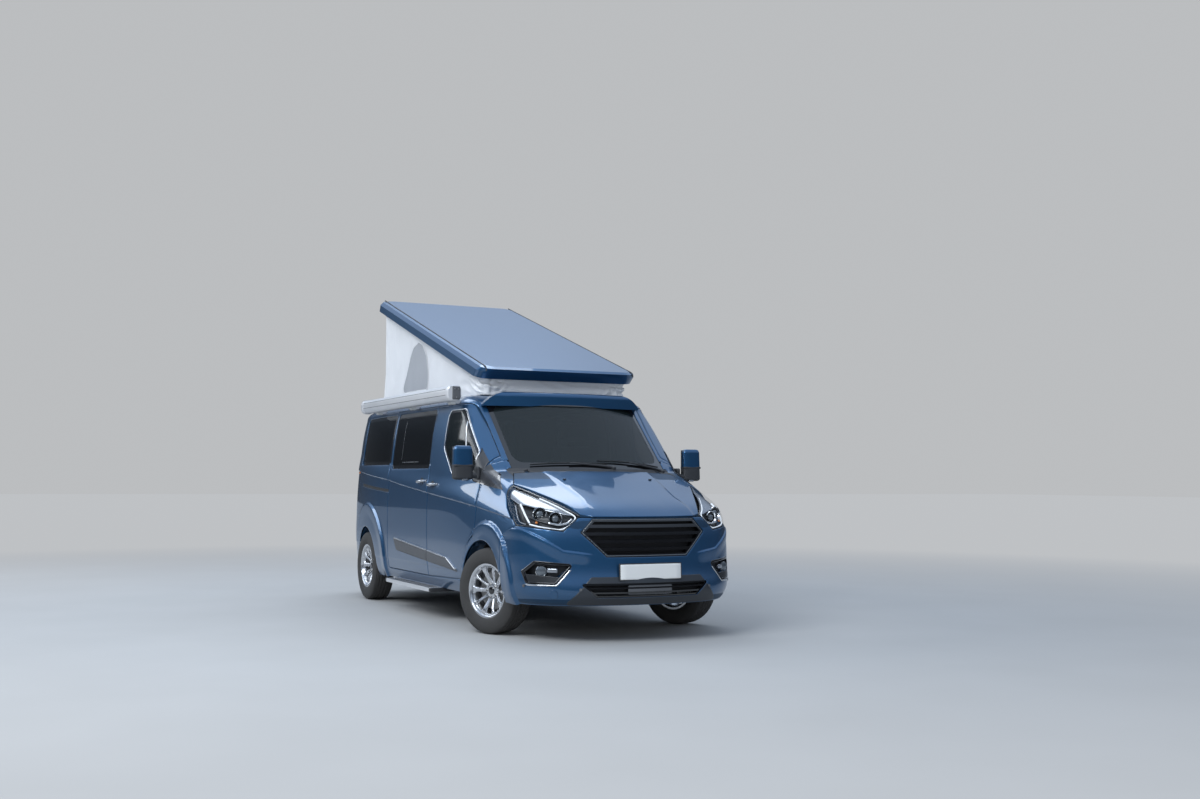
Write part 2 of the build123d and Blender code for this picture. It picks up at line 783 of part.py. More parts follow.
def wishbone(z, y_root):
    """A flat arm out to the kingpin on the right, narrowing to its eye."""
    plan = polygon((FRONT_AXLE_X - 90, y_root), (FRONT_AXLE_X + 90, y_root),
                   (FRONT_AXLE_X + 22, -KNUCKLE_Y - 20), (FRONT_AXLE_X - 22, -KNUCKLE_Y - 20))
    return swept(plan, Plane.XY.offset(z), ARM_THICK)


def steer_pin(z_low, z_high):
    return cylinder(Plane((FRONT_AXLE_X, -KNUCKLE_Y, z_low)), STEER_PIN_R, z_high - z_low)


PIN_DEPTH = 26
lower = joined(
    wishbone(ARM_LOW, -420),
    block(FRONT_AXLE_X - 90, FRONT_AXLE_X + 90, -440, -400, ARM_LOW, 330),
    steer_pin(ARM_LOW, ARM_LOW + ARM_THICK + PIN_DEPTH),
)
upper = joined(
    wishbone(ARM_HIGH, -RAIL_Y - RAIL_WIDTH / 2 - SEAT_GAP), steer_pin(ARM_HIGH - PIN_DEPTH, ARM_HIGH)
)
save(joined(beam, posts, engine_seat, both_sides(lower), both_sides(upper)), "front_subframe")

# A right-hand knuckle and wheel stand straight ahead first, then turn on the kingpin to the rest angle.
upright = block(
    FRONT_AXLE_X - 30,
    FRONT_AXLE_X + 30,
    -KNUCKLE_Y - 17,
    -KNUCKLE_Y + 17,
    ARM_LOW + ARM_THICK + SEAT_GAP,
    ARM_HIGH - SEAT_GAP,
)
pin_bore = cylinder(Plane((FRONT_AXLE_X, -KNUCKLE_Y, 100)), STEER_PIN_R + PIN_PLAY, 600)
upright = cut_down(
    upright,
    common(pin_bore, block(1500, 1700, -REACH, 0, 100, ARM_LOW + ARM_THICK + PIN_DEPTH + 2)),
    common(pin_bore, block(1500, 1700, -REACH, 0, ARM_HIGH - PIN_DEPTH - 2, 700)),
)
stub = cross_bar(FRONT_AXLE_X, AXLE_Z, STUB_R, -WHEEL_Y - 42, -KNUCKLE_Y - 10)
steer_arm = block(FRONT_AXLE_X - 150, FRONT_AXLE_X - 25, -KNUCKLE_Y - 12, -KNUCKLE_Y + 12, 300, 322)
knuckle = joined(upright, stub, steer_arm)


def turned(part, side):
    """A part set at the stored steering angle about the kingpin on one side."""
    axis = Axis((FRONT_AXLE_X, side * KNUCKLE_Y, 0), (0, 0, 1))
    return part.rotate(axis, STEER_REST)


save(turned(knuckle, -1), "right_knuckle")
save(turned(mirrored(knuckle), 1), "left_knuckle")

# Wheels: profiles revolved about the axle, with five pairs of spokes
HUB_BORE = STUB_R + PIN_PLAY
SPOKE_PAIRS = 5
BEAD_RADIUS = 200.4
TyrePoint = namedtuple("TyrePoint", "across radius")
TYRE_HALF_SECTION = [
    TyrePoint(RIM_HALF - 7, BEAD_RADIUS),
    TyrePoint(RIM_HALF - 7, 222),
    TyrePoint(TYRE_WIDTH / 2, 268),
    TyrePoint(TYRE_WIDTH / 2 - 4, 305),
    TyrePoint(88, 336),
    TyrePoint(60, TYRE_RADIUS),
]


def wheel_plane(axle_x):
    """The right wheel's own plane: x across the tyre outwards, y up from the axle."""
    return Plane(origin=(axle_x, -WHEEL_Y, AXLE_Z), x_dir=(0, -1, 0), z_dir=(1, 0, 0))


def tyre_solid(axle_x):
    """The tyre's section, its sidewalls bulged, spun round the axle."""
    plane = wheel_plane(axle_x)
    outer = [(p.across, p.radius) for p in TYRE_HALF_SECTION]
    inner = [(-p.across, p.radius) for p in reversed(TYRE_HALF_SECTION)]
    with BuildPart() as tyre:
        with BuildSketch(plane):
            with BuildLine():
                for half in (outer, inner):
                    for first, second in zip(half, half[1:]):
                        Line(first, second)
                Line(outer[-1], inner[0])
                Line(inner[-1], outer[0])
            make_face()
        revolve(axis=Axis(plane.origin, (0, 1, 0)))
    return tyre.part


def rim_section():
    """The rim's half section: across, radius."""
    return [
        (-RIM_HALF, 182), (-RIM_HALF, 217), (-RIM_HALF + 6, 217), (-RIM_HALF + 6, 200),
        (RIM_HALF - 6, 200), (RIM_HALF - 6, 217), (RIM_HALF, 217), (RIM_HALF, 196), (RIM_HALF - 12, 184),
        (58, 120), (50, 70), (50, HUB_BORE), (0, HUB_BORE), (0, 62), (24, 74), (34, 120), (46, 186),
        (-RIM_HALF + 10, 186),
    ]


def spoke_window(turn, half_angle, root):
    """A window between two spokes: a wedge from the hub to the barrel."""
    edge = 172
    with BuildSketch() as window:
        with BuildLine():
            low, high = radians(turn - half_angle), radians(turn + half_angle)
            inner = radians(half_angle * 0.35)
            middle = radians(turn)
            Polyline(
                (root * cos(middle - inner), root * sin(middle - inner)),
                (edge * cos(low), edge * sin(low)),
                ((edge + 4) * cos(middle), (edge + 4) * sin(middle)),
                (edge * cos(high), edge * sin(high)),
                (root * cos(middle + inner), root * sin(middle + inner)),
                close=True,
            )
        make_face()
    return window.sketch


def rim_whole(axle_x):
    """The alloy rim: a barrel between two flanges, a dished face with five pairs of spokes, a bored hub."""
    plane = wheel_plane(axle_x)
    step = 360 / SPOKE_PAIRS
    windows = [spoke_window(index * step, 14.5, 84) for index in range(SPOKE_PAIRS)]
    windows += [spoke_window((index + 0.5) * step, 9.5, 96) for index in range(SPOKE_PAIRS)]
    with BuildPart() as rim:
        with BuildSketch(plane):
            with BuildLine():
                Polyline(*rim_section(), close=True)
            make_face()
        revolve(axis=Axis(plane.origin, (0, 1, 0)))
        face = Plane(origin=(axle_x, -WHEEL_Y - 20, AXLE_Z), x_dir=(1, 0, 0), z_dir=(0, -1, 0))
        with BuildSketch(face):
            for window in windows:
                add(window)
        extrude(amount=120, mode=Mode.SUBTRACT)
    return rim.part


front_tyre, front_rim = tyre_solid(FRONT_AXLE_X), rim_whole(FRONT_AXLE_X)
rear_tyre, rear_rim = tyre_solid(REAR_AXLE_X), rim_whole(REAR_AXLE_X)
save(turned(front_tyre, -1), "front_right_tyre")
save(turned(front_rim, -1), "front_right_rim")
save(turned(mirrored(front_tyre), 1), "front_left_tyre")
save(turned(mirrored(front_rim), 1), "front_left_rim")
save(rear_tyre, "rear_right_tyre")
save(rear_rim, "rear_right_rim")
save(mirrored(rear_tyre), "rear_left_tyre")
save(mirrored(rear_rim), "rear_left_rim")

# Rear axle on two leaf springs
LEAF_Y = 600
LEAF_WIDTH = 64
LEAF_THICK = 26
LEAF_SPAN = 640
LEAF_RISE = 66
TUBE_R = 38
leaf_z = AXLE_Z + TUBE_R
with BuildPart() as leaf:
    with BuildSketch(right_plane(-LEAF_Y + LEAF_WIDTH / 2)):
        with BuildLine():
            ThreePointArc(
                (REAR_AXLE_X - LEAF_SPAN, leaf_z + LEAF_RISE),
                (REAR_AXLE_X, leaf_z - 2),
                (REAR_AXLE_X + LEAF_SPAN, leaf_z + LEAF_RISE),
            )
            Line(
                (REAR_AXLE_X + LEAF_SPAN, leaf_z + LEAF_RISE),
                (REAR_AXLE_X + LEAF_SPAN, leaf_z + LEAF_RISE + LEAF_THICK),
            )
            ThreePointArc(
                (REAR_AXLE_X + LEAF_SPAN, leaf_z + LEAF_RISE + LEAF_THICK),
                (REAR_AXLE_X, leaf_z + LEAF_THICK - 2),
                (REAR_AXLE_X - LEAF_SPAN, leaf_z + LEAF_RISE + LEAF_THICK),
            )
            Line(
                (REAR_AXLE_X - LEAF_SPAN, leaf_z + LEAF_RISE + LEAF_THICK),
                (REAR_AXLE_X - LEAF_SPAN, leaf_z + LEAF_RISE),
            )
        make_face()
    extrude(amount=LEAF_WIDTH)
hangers = [
    block(x - 24, x + 24, -LEAF_Y - 32, -LEAF_Y + 32, leaf_z + LEAF_RISE, FLOOR_LOW - SEAT_GAP)
    for x in (REAR_AXLE_X - LEAF_SPAN, REAR_AXLE_X + LEAF_SPAN)
]
tube = cross_bar(REAR_AXLE_X, AXLE_Z, TUBE_R, -800, 800)
rear_stub = cross_bar(REAR_AXLE_X, AXLE_Z, STUB_R, -WHEEL_Y - 42, WHEEL_Y + 42)
save(joined(tube, rear_stub, both_sides(joined(leaf.part, *hangers))), "rear_axle")

with BuildPart() as tank:
    with BuildSketch(Plane.XY.offset(330)):
        with Locations((-440, 245)):
            RectangleRounded(860, 360, 50)
    extrude(amount=FLOOR_LOW - SEAT_GAP - 330)
    fillet(tank.faces().sort_by(Axis.Z)[0].edges(), radius=30)
save(tank.part, "fuel_tank")

EXHAUST_Y = -250
with BuildPart() as exhaust:
    with BuildLine():
        FilletPolyline((1500, EXHAUST_Y, 385), (-1180, EXHAUST_Y, 385), (-1380, EXHAUST_Y, 452),
                       (-2370, EXHAUST_Y, 452), radius=200)
    with BuildSketch(Plane(origin=(1500, EXHAUST_Y, 385), z_dir=(-1, 0, 0))):
        Circle(27)
    sweep()
    with BuildSketch(front_plane(-350)):
        with Locations((EXHAUST_Y, 360)):
            Ellipse(110, 70)
    extrude(amount=650)
    for x in (1250, -250, 200, -2200):
        with BuildSketch(front_plane(x)):
            with Locations((EXHAUST_Y, (380 + FLOOR_LOW) / 2 - SEAT_GAP / 2)):
                Rectangle(24, FLOOR_LOW - SEAT_GAP - 380)
        extrude(amount=14)
save(exhaust.part, "exhaust")

# Cabin
SEAT_Z = FLOOR_TOP + SEAT_GAP
DASH_FRONT_X = FIREWALL_X - 20 - SEAT_GAP
with BuildPart() as dash:
    with BuildSketch(right_plane(REACH)):
        with BuildLine():
            Polyline((DASH_FRONT_X, 900), (1190, 905), (1130, 985), (1122, 1120))
            ThreePointArc((1122, 1120), (1165, 1212), (1260, 1248))
            Polyline((1260, 1248), (1470, 1272), (DASH_FRONT_X, 1262), (DASH_FRONT_X, 900))
        make_face()
    extrude(amount=2 * REACH)
    add(FLOOR_FORM, mode=Mode.INTERSECT)
WHEEL_TILT = 38
WHEEL_RADIUS = 188
WHEEL_TUBE = 15
COLUMN_LEAN = (-sin(radians(WHEEL_TILT)), 0, cos(radians(WHEEL_TILT)))
WHEEL_CENTRE = (1050, 400, 1225)
column_foot = tuple(c - 230 * a for c, a in zip(WHEEL_CENTRE, COLUMN_LEAN))
column = cylinder(Plane(origin=column_foot, z_dir=COLUMN_LEAN), 44, 230 - 20 - SEAT_GAP)
save(joined(dash.part, column), "dashboard")
across_column = (COLUMN_LEAN[2], 0, -COLUMN_LEAN[0])
with BuildPart() as steering_wheel:
    with BuildSketch(Plane(origin=WHEEL_CENTRE, x_dir=(0, 1, 0), z_dir=across_column)):
        with Locations((WHEEL_RADIUS, 0)):
            Circle(WHEEL_TUBE)
    revolve(axis=Axis(WHEEL_CENTRE, COLUMN_LEAN))
    with BuildSketch(Plane(origin=WHEEL_CENTRE, x_dir=(0, 1, 0), z_dir=COLUMN_LEAN).offset(-20)):
        Circle(62)
    extrude(amount=38)
    with BuildSketch(Plane(origin=WHEEL_CENTRE, x_dir=(0, 1, 0), z_dir=COLUMN_LEAN).offset(-8)):
        for angle in (10, 170, 270):
            with Locations(Rotation(0, 0, angle)):
                with Locations((110, 0)):
                    Rectangle(140, 34)
    extrude(amount=14)
save(steering_wheel.part, "steering_wheel")

SEAT_SIDE = [
    (560, SEAT_Z), (860, SEAT_Z), (880, 790), (985, 800), (990, 880), (960, 925), (540, 905), (420, 1560),
    (410, 1760), (330, 1760), (330, 1580), (290, 1560), (400, 860), (520, 800),
]


def seat(y_low, y_high, points):
    """A seat's side view carried across its width."""
    with BuildPart() as chair:
        with BuildSketch(right_plane(y_high)):
            add(polygon(*points))
        extrude(amount=y_high - y_low)
    return chair.part


FRONT_SEAT_Y = 420
SEAT_HALF = 245
save(both_sides(seat(-FRONT_SEAT_Y - SEAT_HALF, -FRONT_SEAT_Y + SEAT_HALF, SEAT_SIDE)), "front_seats")
BENCH_SIDE = [(-1240, SEAT_Z), (-760, SEAT_Z), (-700, 840), (-690, 960), (-1130, 950), (-1230, 1540),
              (-1330, 1540), (-1270, 900)]
save(seat(-640, 440, BENCH_SIDE), "rear_bench")
kitchen_side = polygon((-1240, SEAT_Z), (60, SEAT_Z), (60, 1310), (-1240, 1310), radius=12)
kitchen = common(swept(kitchen_side, right_plane(REACH), REACH - 520), FLOOR_FORM)
save(kitchen, "kitchen_unit")

# Pop-up roof: hinged at the front on two arms, tilted up at the rear
ROOF_TILT = 17.2
ROOF_HALF = 765
ROOF_LENGTH = 3170
ROOF_RIM = 60
POCKET_CORNER = 10
LINING = 85
ARM_LENGTH = 196
ARM_UP = 50
ARM_DOWN = -5
ARM_Y = 636
EYE_U, EYE_W = -150, 40
tilt = radians(ROOF_TILT)
ROOF_PLANE = Plane(origin=(900, 0, 2100), x_dir=(cos(tilt), 0, -sin(tilt)), z_dir=(sin(tilt), 0, cos(tilt)))


def on_roof(u, w):
    """The side-view place of a point on the tilted roof, u forwards along it and w up from it."""
    return (900 + u * cos(tilt) + w * sin(tilt), 2100 - u * sin(tilt) + w * cos(tilt))


EYE = on_roof(EYE_U, EYE_W)
ROOT = (EYE[0] - ARM_LENGTH * cos(radians(ARM_UP)), EYE[1] - ARM_LENGTH * sin(radians(ARM_UP)))
RoofRow = namedtuple("RoofRow", "w back front half corner")
ROOF_ROWS = [
    RoofRow(0, -ROOF_LENGTH, 0, ROOF_HALF, 110),
    RoofRow(70, -ROOF_LENGTH + 12, 52, ROOF_HALF, 110),
    RoofRow(104, -ROOF_LENGTH + 32, 76, ROOF_HALF - 24, 100),
    RoofRow(118, -ROOF_LENGTH + 90, 40, ROOF_HALF - 66, 90),
]
with BuildPart() as pop_roof:
    for row in ROOF_ROWS:
        with BuildSketch(ROOF_PLANE.offset(row.w)):
            with Locations(((row.back + row.front) / 2, 0)):
                RectangleRounded(row.front - row.back, 2 * row.half, row.corner)
    loft(ruled=True)
    with BuildSketch(ROOF_PLANE.offset(-1)):
        with Locations((-ROOF_LENGTH / 2, 0)):
            RectangleRounded(ROOF_LENGTH - 2 * ROOF_RIM, 2 * (ROOF_HALF - ROOF_RIM), POCKET_CORNER)
    extrude(amount=LINING + 1, mode=Mode.SUBTRACT)
lug_side = polygon(on_roof(EYE_U - 22, 18), on_roof(EYE_U + 22, 18), on_roof(EYE_U + 30, LINING + 5),
                   on_roof(EYE_U - 30, LINING + 5))
CROSS_R = 10
roof_lug = cut_down(
    swept(lug_side, right_plane(-ARM_Y - 14), 12),
    cross_bar(*EYE, CROSS_R + PIN_PLAY, -REACH, 0),
)
save(joined(pop_roof.part, both_sides(roof_lug)), "pop_up_roof")

ARM_HALF = 17
ARM_BAR = 12


def arm_outline():
    """A flat link seen from the side: two round eyes and the bar between them."""
    with BuildSketch() as link:
        with Locations(ROOT, EYE):
            Circle(ARM_HALF)
        middle = ((ROOT[0] + EYE[0]) / 2, (ROOT[1] + EYE[1]) / 2)
        with Locations(Location((*middle, 0), (0, 0, ARM_UP))):
            Rectangle(ARM_LENGTH, 2 * ARM_HALF - 6)
        with Locations(ROOT):
            Circle(6 + PIN_PLAY, mode=Mode.SUBTRACT)
    return link.sketch


arm = swept(arm_outline(), right_plane(-ARM_Y + ARM_BAR / 2), ARM_BAR)
arms = joined(both_sides(arm), cross_bar(*EYE, CROSS_R, -ARM_Y - 26, ARM_Y + 26))
save(arms, "roof_arms")
root_x, root_z = ROOT
post_side = polygon(
    (root_x - 26, ROOF_TOP - 10), (root_x + 26, ROOF_TOP - 10), (root_x + 14, root_z + 12),
    (root_x - 14, root_z + 12),
)
post = joined(swept(post_side, right_plane(-ARM_Y + 20), 10), cross_bar(*ROOT, 6, -ARM_Y - 8, -ARM_Y + 12))
roof_whole = joined(roof, both_sides(post))

# Tent cloth, a plain hollow wedge between the roof and the raised panel
CLOTH = 12
CLOTH_HALF = 700
CLOTH_FRONT_X = 828
CLOTH_REAR_LOW = -2140
CLOTH_REAR_HIGH = -2025


def cloth_side(inset):
    """The tent's side view, drawn in by the cloth's thickness."""
    top = LINING - SEAT_GAP
    low = ROOF_TOP + SEAT_GAP

    def under(x):
        return 2100 + top / cos(tilt) - (x - 900) * tan(tilt)

    front, rear_low, rear_high = CLOTH_FRONT_X - inset, CLOTH_REAR_LOW + inset, CLOTH_REAR_HIGH + inset
    extra = inset and 50
    return polygon((rear_low, low - extra), (front, low - extra), (front, under(front) + extra),
                   (rear_high, under(rear_high) + extra))


canvas = cut_down(
    swept(cloth_side(0), right_plane(CLOTH_HALF), 2 * CLOTH_HALF),
    swept(cloth_side(CLOTH), right_plane(CLOTH_HALF - CLOTH), 2 * (CLOTH_HALF - CLOTH)),
)
save(canvas, "roof_canvas")

# Roof fairing over the windscreen, cut low where the shut roof lies
SHUT_ROOF_X = 1002
SHUT_ROOF_Z = 1968
HULL_SEAT = hull_solid(-SEAT_GAP)
VISOR_HALF = 748
VISOR_LOW = 1860
VISOR_TOP = 1984
VISOR_ROUND = 42
VISOR_SHOULDER = 470
with BuildPart() as visor:
    with BuildSketch(Plane.XY.offset(VISOR_LOW)):
        with BuildLine():
            ThreePointArc((1020, -VISOR_HALF), (1132, 0), (1020, VISOR_HALF))
            Line((1020, VISOR_HALF), (940, VISOR_HALF))
            ThreePointArc((940, VISOR_HALF), (1012, 0), (940, -VISOR_HALF))
            Line((940, -VISOR_HALF), (1020, -VISOR_HALF))
        make_face()
    extrude(amount=VISOR_TOP - VISOR_LOW)
    nose_face = visor.faces().filter_by(GeomType.CYLINDER).sort_by(Axis.X)[-1]
    fillet(nose_face.edges().sort_by(Axis.Z)[-1], radius=VISOR_ROUND)
with BuildSketch() as visor_front:
    with BuildLine():
        Line((-VISOR_HALF, VISOR_LOW), (VISOR_HALF, VISOR_LOW))
        Line((VISOR_HALF, VISOR_LOW), (VISOR_HALF, 1874))
        ThreePointArc((VISOR_HALF, 1874), (646, 1956), (VISOR_SHOULDER, VISOR_TOP))
        Line((VISOR_SHOULDER, VISOR_TOP), (-VISOR_SHOULDER, VISOR_TOP))
        ThreePointArc((-VISOR_SHOULDER, VISOR_TOP), (-646, 1956), (-VISOR_HALF, 1874))
        Line((-VISOR_HALF, 1874), (-VISOR_HALF, VISOR_LOW))
    make_face()
fairing = cut_down(
    common(visor.part, front_prism(visor_front.sketch, 800, 1200)),
    HULL_SEAT,
    block(800, SHUT_ROOF_X, -REACH, REACH, SHUT_ROOF_Z, 2100),
)
save(fairing, "roof_fairing")

# Tailgate hinges: rings on the tailgate, and lugs with their pins that reach down from the roof
TAIL_PIN = (-2484, GLASS_HIGH - DOOR_GAP - 12)
TAIL_HINGE_Y = -250
TAIL_RING = 28
TAIL_SWEEP = 41
LUG_GAP = 2
NOTCH_SIDE = 7


def pin_ring(pin, y, length):
    return cross_bar(*pin, KNUCKLE_R, y - length / 2, y + length / 2)


def pin_hole(pin, y):
    return cross_bar(*pin, HINGE_PIN_R + PIN_PLAY, y - 40, y + 40)


tail_x, tail_z = TAIL_PIN
ring_low, ring_high = TAIL_HINGE_Y - TAIL_RING / 2, TAIL_HINGE_Y + TAIL_RING / 2
tail_ring = joined(
    pin_ring(TAIL_PIN, TAIL_HINGE_Y, TAIL_RING),
    block(tail_x - 5, tail_x + 5, ring_low, ring_high, tail_z - 26, tail_z),
)
tail_ring = cut_down(tail_ring, pin_hole(TAIL_PIN, TAIL_HINGE_Y))
plate_y = TAIL_HINGE_Y - TAIL_RING / 2 - LUG_GAP - LUG_THICK
tail_lug = joined(
    block(tail_x, tail_x + 60, plate_y, plate_y + LUG_THICK, tail_z - KNUCKLE_R, tail_z + KNUCKLE_R),
    cross_bar(*TAIL_PIN, KNUCKLE_R, plate_y, plate_y + LUG_THICK),
    block(tail_x + 40, tail_x + 60, plate_y, plate_y + LUG_THICK, tail_z - 9, GLASS_HIGH + 15),
    cross_bar(*TAIL_PIN, HINGE_PIN_R, plate_y, TAIL_HINGE_Y + TAIL_RING / 2),
)
tail_notch = block(
    tail_x - 10.5,
    tail_x + 120,
    plate_y - NOTCH_SIDE,
    ring_high + NOTCH_SIDE,
    tail_z - 15,
    tail_z + 30,
)
tail_edge = cut_down(
    block(tail_x - 60, tail_x, -REACH, REACH, tail_z, tail_z + 30), cross_bar(*TAIL_PIN, 13, -REACH, REACH)
)
tailgate = joined(cut_down(tailgate_plain, both_sides(tail_notch), tail_edge), both_sides(tail_ring))
save(tailgate, "tailgate")
tail_relief = cross_bar(*TAIL_PIN, TAIL_SWEEP, -REACH, REACH)
save(joined(cut_down(roof_whole, tail_relief), both_sides(tail_lug)), "roof_panel")

# Bonnet hinges: arms reach back under the scuttle to rings on pins across its notches
BONNET_PIN = (1640, 1285)
BONNET_HINGE_Y = -606
BONNET_RING = 24
BONNET_NOTCH = 20
pin_x, pin_z = BONNET_PIN
arm_side = polygon(
    (pin_x - 7, pin_z - 5), (pin_x + 6, pin_z - 24), (pin_x + 52, pin_z - 27), (pin_x + 52, pin_z - 15),
    (pin_x + 8, pin_z - 5),
)
bonnet_arm = swept(arm_side, right_plane(BONNET_HINGE_Y + BONNET_RING / 2), BONNET_RING)
bonnet_ring = cut_down(
    joined(pin_ring(BONNET_PIN, BONNET_HINGE_Y, BONNET_RING), bonnet_arm),
    pin_hole(BONNET_PIN, BONNET_HINGE_Y),
)
notch_low, notch_high = BONNET_HINGE_Y - BONNET_NOTCH, BONNET_HINGE_Y + BONNET_NOTCH
bonnet_notch = block(pin_x - 16, pin_x + 70, notch_low, notch_high, pin_z - 34, GLASS_LOW)
pin_bar = cross_bar(*BONNET_PIN, HINGE_PIN_R, notch_low, notch_high)
save(joined(bonnet, both_sides(bonnet_ring)), "bonnet")
save(joined(cut_down(scuttle, both_sides(bonnet_notch)), both_sides(pin_bar)), "scuttle")

# Awning case, side step and mirrors
AWNING_X = (-1640, 960)
AWNING_MIDDLE = (-994, 1960)
BRACKET_X = (-1420, -340, 740)
STEP_LOW = 252
MIRROR_LOW = 1225
MIRROR_TOP = 1505
MIRROR_ROUND = 26
with BuildPart() as awning:
    with BuildSketch(front_plane(AWNING_X[0])):
        with Locations(AWNING_MIDDLE):
            RectangleRounded(118, 132, 46)
    extrude(amount=AWNING_X[1] - AWNING_X[0])
brackets = [
    cut_down(block(x - 30, x + 30, -950, -800, 1886, 1912), HULL_SEAT) for x in BRACKET_X
]
save(joined(awning.part, *brackets), "awning_case")
with BuildPart() as step:
    with BuildSketch(Plane.XY.offset(STEP_LOW)):
        with Locations((-100, -925)):
            RectangleRounded(1280, 250, 24)
    extrude(amount=GROUND_SILL - SEAT_GAP - STEP_LOW)
save(step.part, "side_step")
with BuildPart() as housing:
    with BuildSketch(Plane.XY.offset(MIRROR_LOW)):
        with Locations((1408, -1071)):
            RectangleRounded(84, 172, MIRROR_ROUND)
    with BuildSketch(Plane.XY.offset(MIRROR_TOP)):
        with Locations((1404, -1070)):
            RectangleRounded(70, 156, MIRROR_ROUND)
    loft()
    fillet(housing.faces().sort_by(Axis.Z)[-1].edges(), radius=18)
mirror_arm = cut_down(block(1384, 1436, -1030, -900, 1248, 1288), HULL_SEAT)
right_mirror = joined(housing.part, mirror_arm)
save(right_mirror, "right_mirror")
save(mirrored(right_mirror), "left_mirror")
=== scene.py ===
"""Looks of a camper van with a pop-up roof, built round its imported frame.

Units: metres in the van's own frame, +X forwards, +Y to its left, +Z up.
"""
import bmesh
import bpy
import numpy as np
from math import cos, pi, radians, sin, tan
from mathutils import Matrix, Vector
from mathutils.bvhtree import BVHTree


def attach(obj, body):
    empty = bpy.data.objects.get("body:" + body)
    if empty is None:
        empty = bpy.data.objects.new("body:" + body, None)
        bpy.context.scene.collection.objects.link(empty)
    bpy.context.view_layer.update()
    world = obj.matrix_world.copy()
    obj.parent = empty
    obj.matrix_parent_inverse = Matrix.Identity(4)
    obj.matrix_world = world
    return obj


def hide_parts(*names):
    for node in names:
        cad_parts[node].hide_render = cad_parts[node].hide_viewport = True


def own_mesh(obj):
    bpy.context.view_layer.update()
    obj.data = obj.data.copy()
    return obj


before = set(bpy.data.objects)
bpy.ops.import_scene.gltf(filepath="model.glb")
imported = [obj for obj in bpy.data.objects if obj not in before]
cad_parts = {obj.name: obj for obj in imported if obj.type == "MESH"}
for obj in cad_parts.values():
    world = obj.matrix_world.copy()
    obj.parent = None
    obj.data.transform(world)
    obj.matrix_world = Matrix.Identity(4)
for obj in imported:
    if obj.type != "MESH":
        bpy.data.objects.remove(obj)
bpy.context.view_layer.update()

# Body form: plan outlines at rising heights. Columns: height, nose, nose radius, front corner radius,
# front cheek radius, half width, tail, rear corner radius.
ROWS = np.array([
    (0.285, 2.625, 1.70, 0.56, 60.0, 0.925, -2.585, 0.20),
    (0.345, 2.666, 1.70, 0.54, 60.0, 0.950, -2.655, 0.21),
    (0.500, 2.655, 1.70, 0.50, 60.0, 0.972, -2.660, 0.21),
    (0.650, 2.634, 1.70, 0.46, 40.0, 0.982, -2.640, 0.20),
    (0.800, 2.624, 1.65, 0.42, 26.0, 0.985, -2.590, 0.19),
    (0.950, 2.590, 1.60, 0.38, 17.0, 0.985, -2.562, 0.18),
    (1.020, 2.480, 1.90, 0.33, 14.0, 0.983, -2.560, 0.18),
    (1.120, 2.225, 2.10, 0.30, 11.0, 0.978, -2.560, 0.18),
    (1.210, 1.985, 2.00, 0.29, 8.8, 0.972, -2.560, 0.18),
    (1.300, 1.742, 1.75, 0.26, 7.3, 0.965, -2.558, 0.18),
    (1.500, 1.530, 1.65, 0.19, 6.7, 0.944, -2.550, 0.18),
    (1.700, 1.317, 1.60, 0.16, 6.3, 0.917, -2.538, 0.175),
    (1.850, 1.156, 1.55, 0.15, 6.0, 0.886, -2.520, 0.17),
    (1.925, 1.062, 1.55, 0.15, 6.0, 0.838, -2.480, 0.17),
    (1.965, 0.930, 1.55, 0.15, 6.0, 0.745, -2.400, 0.17),
])
CREASES = (0.285, 0.950, 1.300, 1.850, 1.965)
FRONT_CHEEK_X, REAR_CHEEK_X = 0.5, -1.22
REAR_CHEEK_R, TAIL_R = 6.4, 5.0


def spline_slopes(x, y):
    """Second derivatives of the natural cubic spline through the columns of y at x."""
    n = len(x)
    a, b = np.zeros((n, n)), np.zeros_like(y)
    a[0, 0] = a[-1, -1] = 1
    for i in range(1, n - 1):
        h0, h1 = x[i] - x[i - 1], x[i + 1] - x[i]
        a[i, i - 1:i + 2] = h0, 2 * (h0 + h1), h1
        b[i] = 6 * ((y[i + 1] - y[i]) / h1 - (y[i] - y[i - 1]) / h0)
    return np.linalg.solve(a, b)


BANDS = []
for _low, _high in zip(CREASES, CREASES[1:]):
    _rows = ROWS[(ROWS[:, 0] >= _low - 1e-9) & (ROWS[:, 0] <= _high + 1e-9)]
    BANDS.append((_rows[:, 0], _rows[:, 1:], spline_slopes(_rows[:, 0], _rows[:, 1:])))


def row_at(z):
    """The seven plan sizes at each height, by a cubic through the rows of its band."""
    z = np.asarray(z, float)
    out = np.zeros((7,) + z.shape)
    band = np.clip(np.searchsorted(CREASES, z, "right") - 1, 0, len(BANDS) - 1)
    for k, (x, y, m) in enumerate(BANDS):
        pick = band == k
        if not pick.any():
            continue
        v = z[pick]
        i = np.clip(np.searchsorted(x, v, "right") - 1, 0, len(x) - 2)
        h = x[i + 1] - x[i]
        a, b = ((x[i + 1] - v) / h)[:, None], ((v - x[i]) / h)[:, None]
        h = h[:, None]
        out[:, pick] = (a * y[i] + b * y[i + 1] + ((a**3 - a) * m[i] + (b**3 - b) * m[i + 1]) * h * h / 6).T
    return out


def end_arcs(nose, nose_r, corner_r, cheek_r, cheek_x, half):
    """Centres and joining angles of the nose, corner and cheek arcs of one end of a plan outline."""
    reach, drop = cheek_r - corner_r, nose_r - corner_r
    ly, tx = half - cheek_r, nose - nose_r
    span = np.hypot(tx - cheek_x, ly)
    along = (span**2 + reach**2 - drop**2) / (2 * span)
    across = np.sqrt(np.maximum(reach**2 - along**2, 0))
    ux, uy = (tx - cheek_x) / span, -ly / span
    cx, cy = cheek_x + ux * along + uy * across, ly + uy * along - ux * across
    return tx, cx, cy, ly, np.arctan2(cy, cx - tx), np.arctan2(cy - ly, cx - cheek_x)


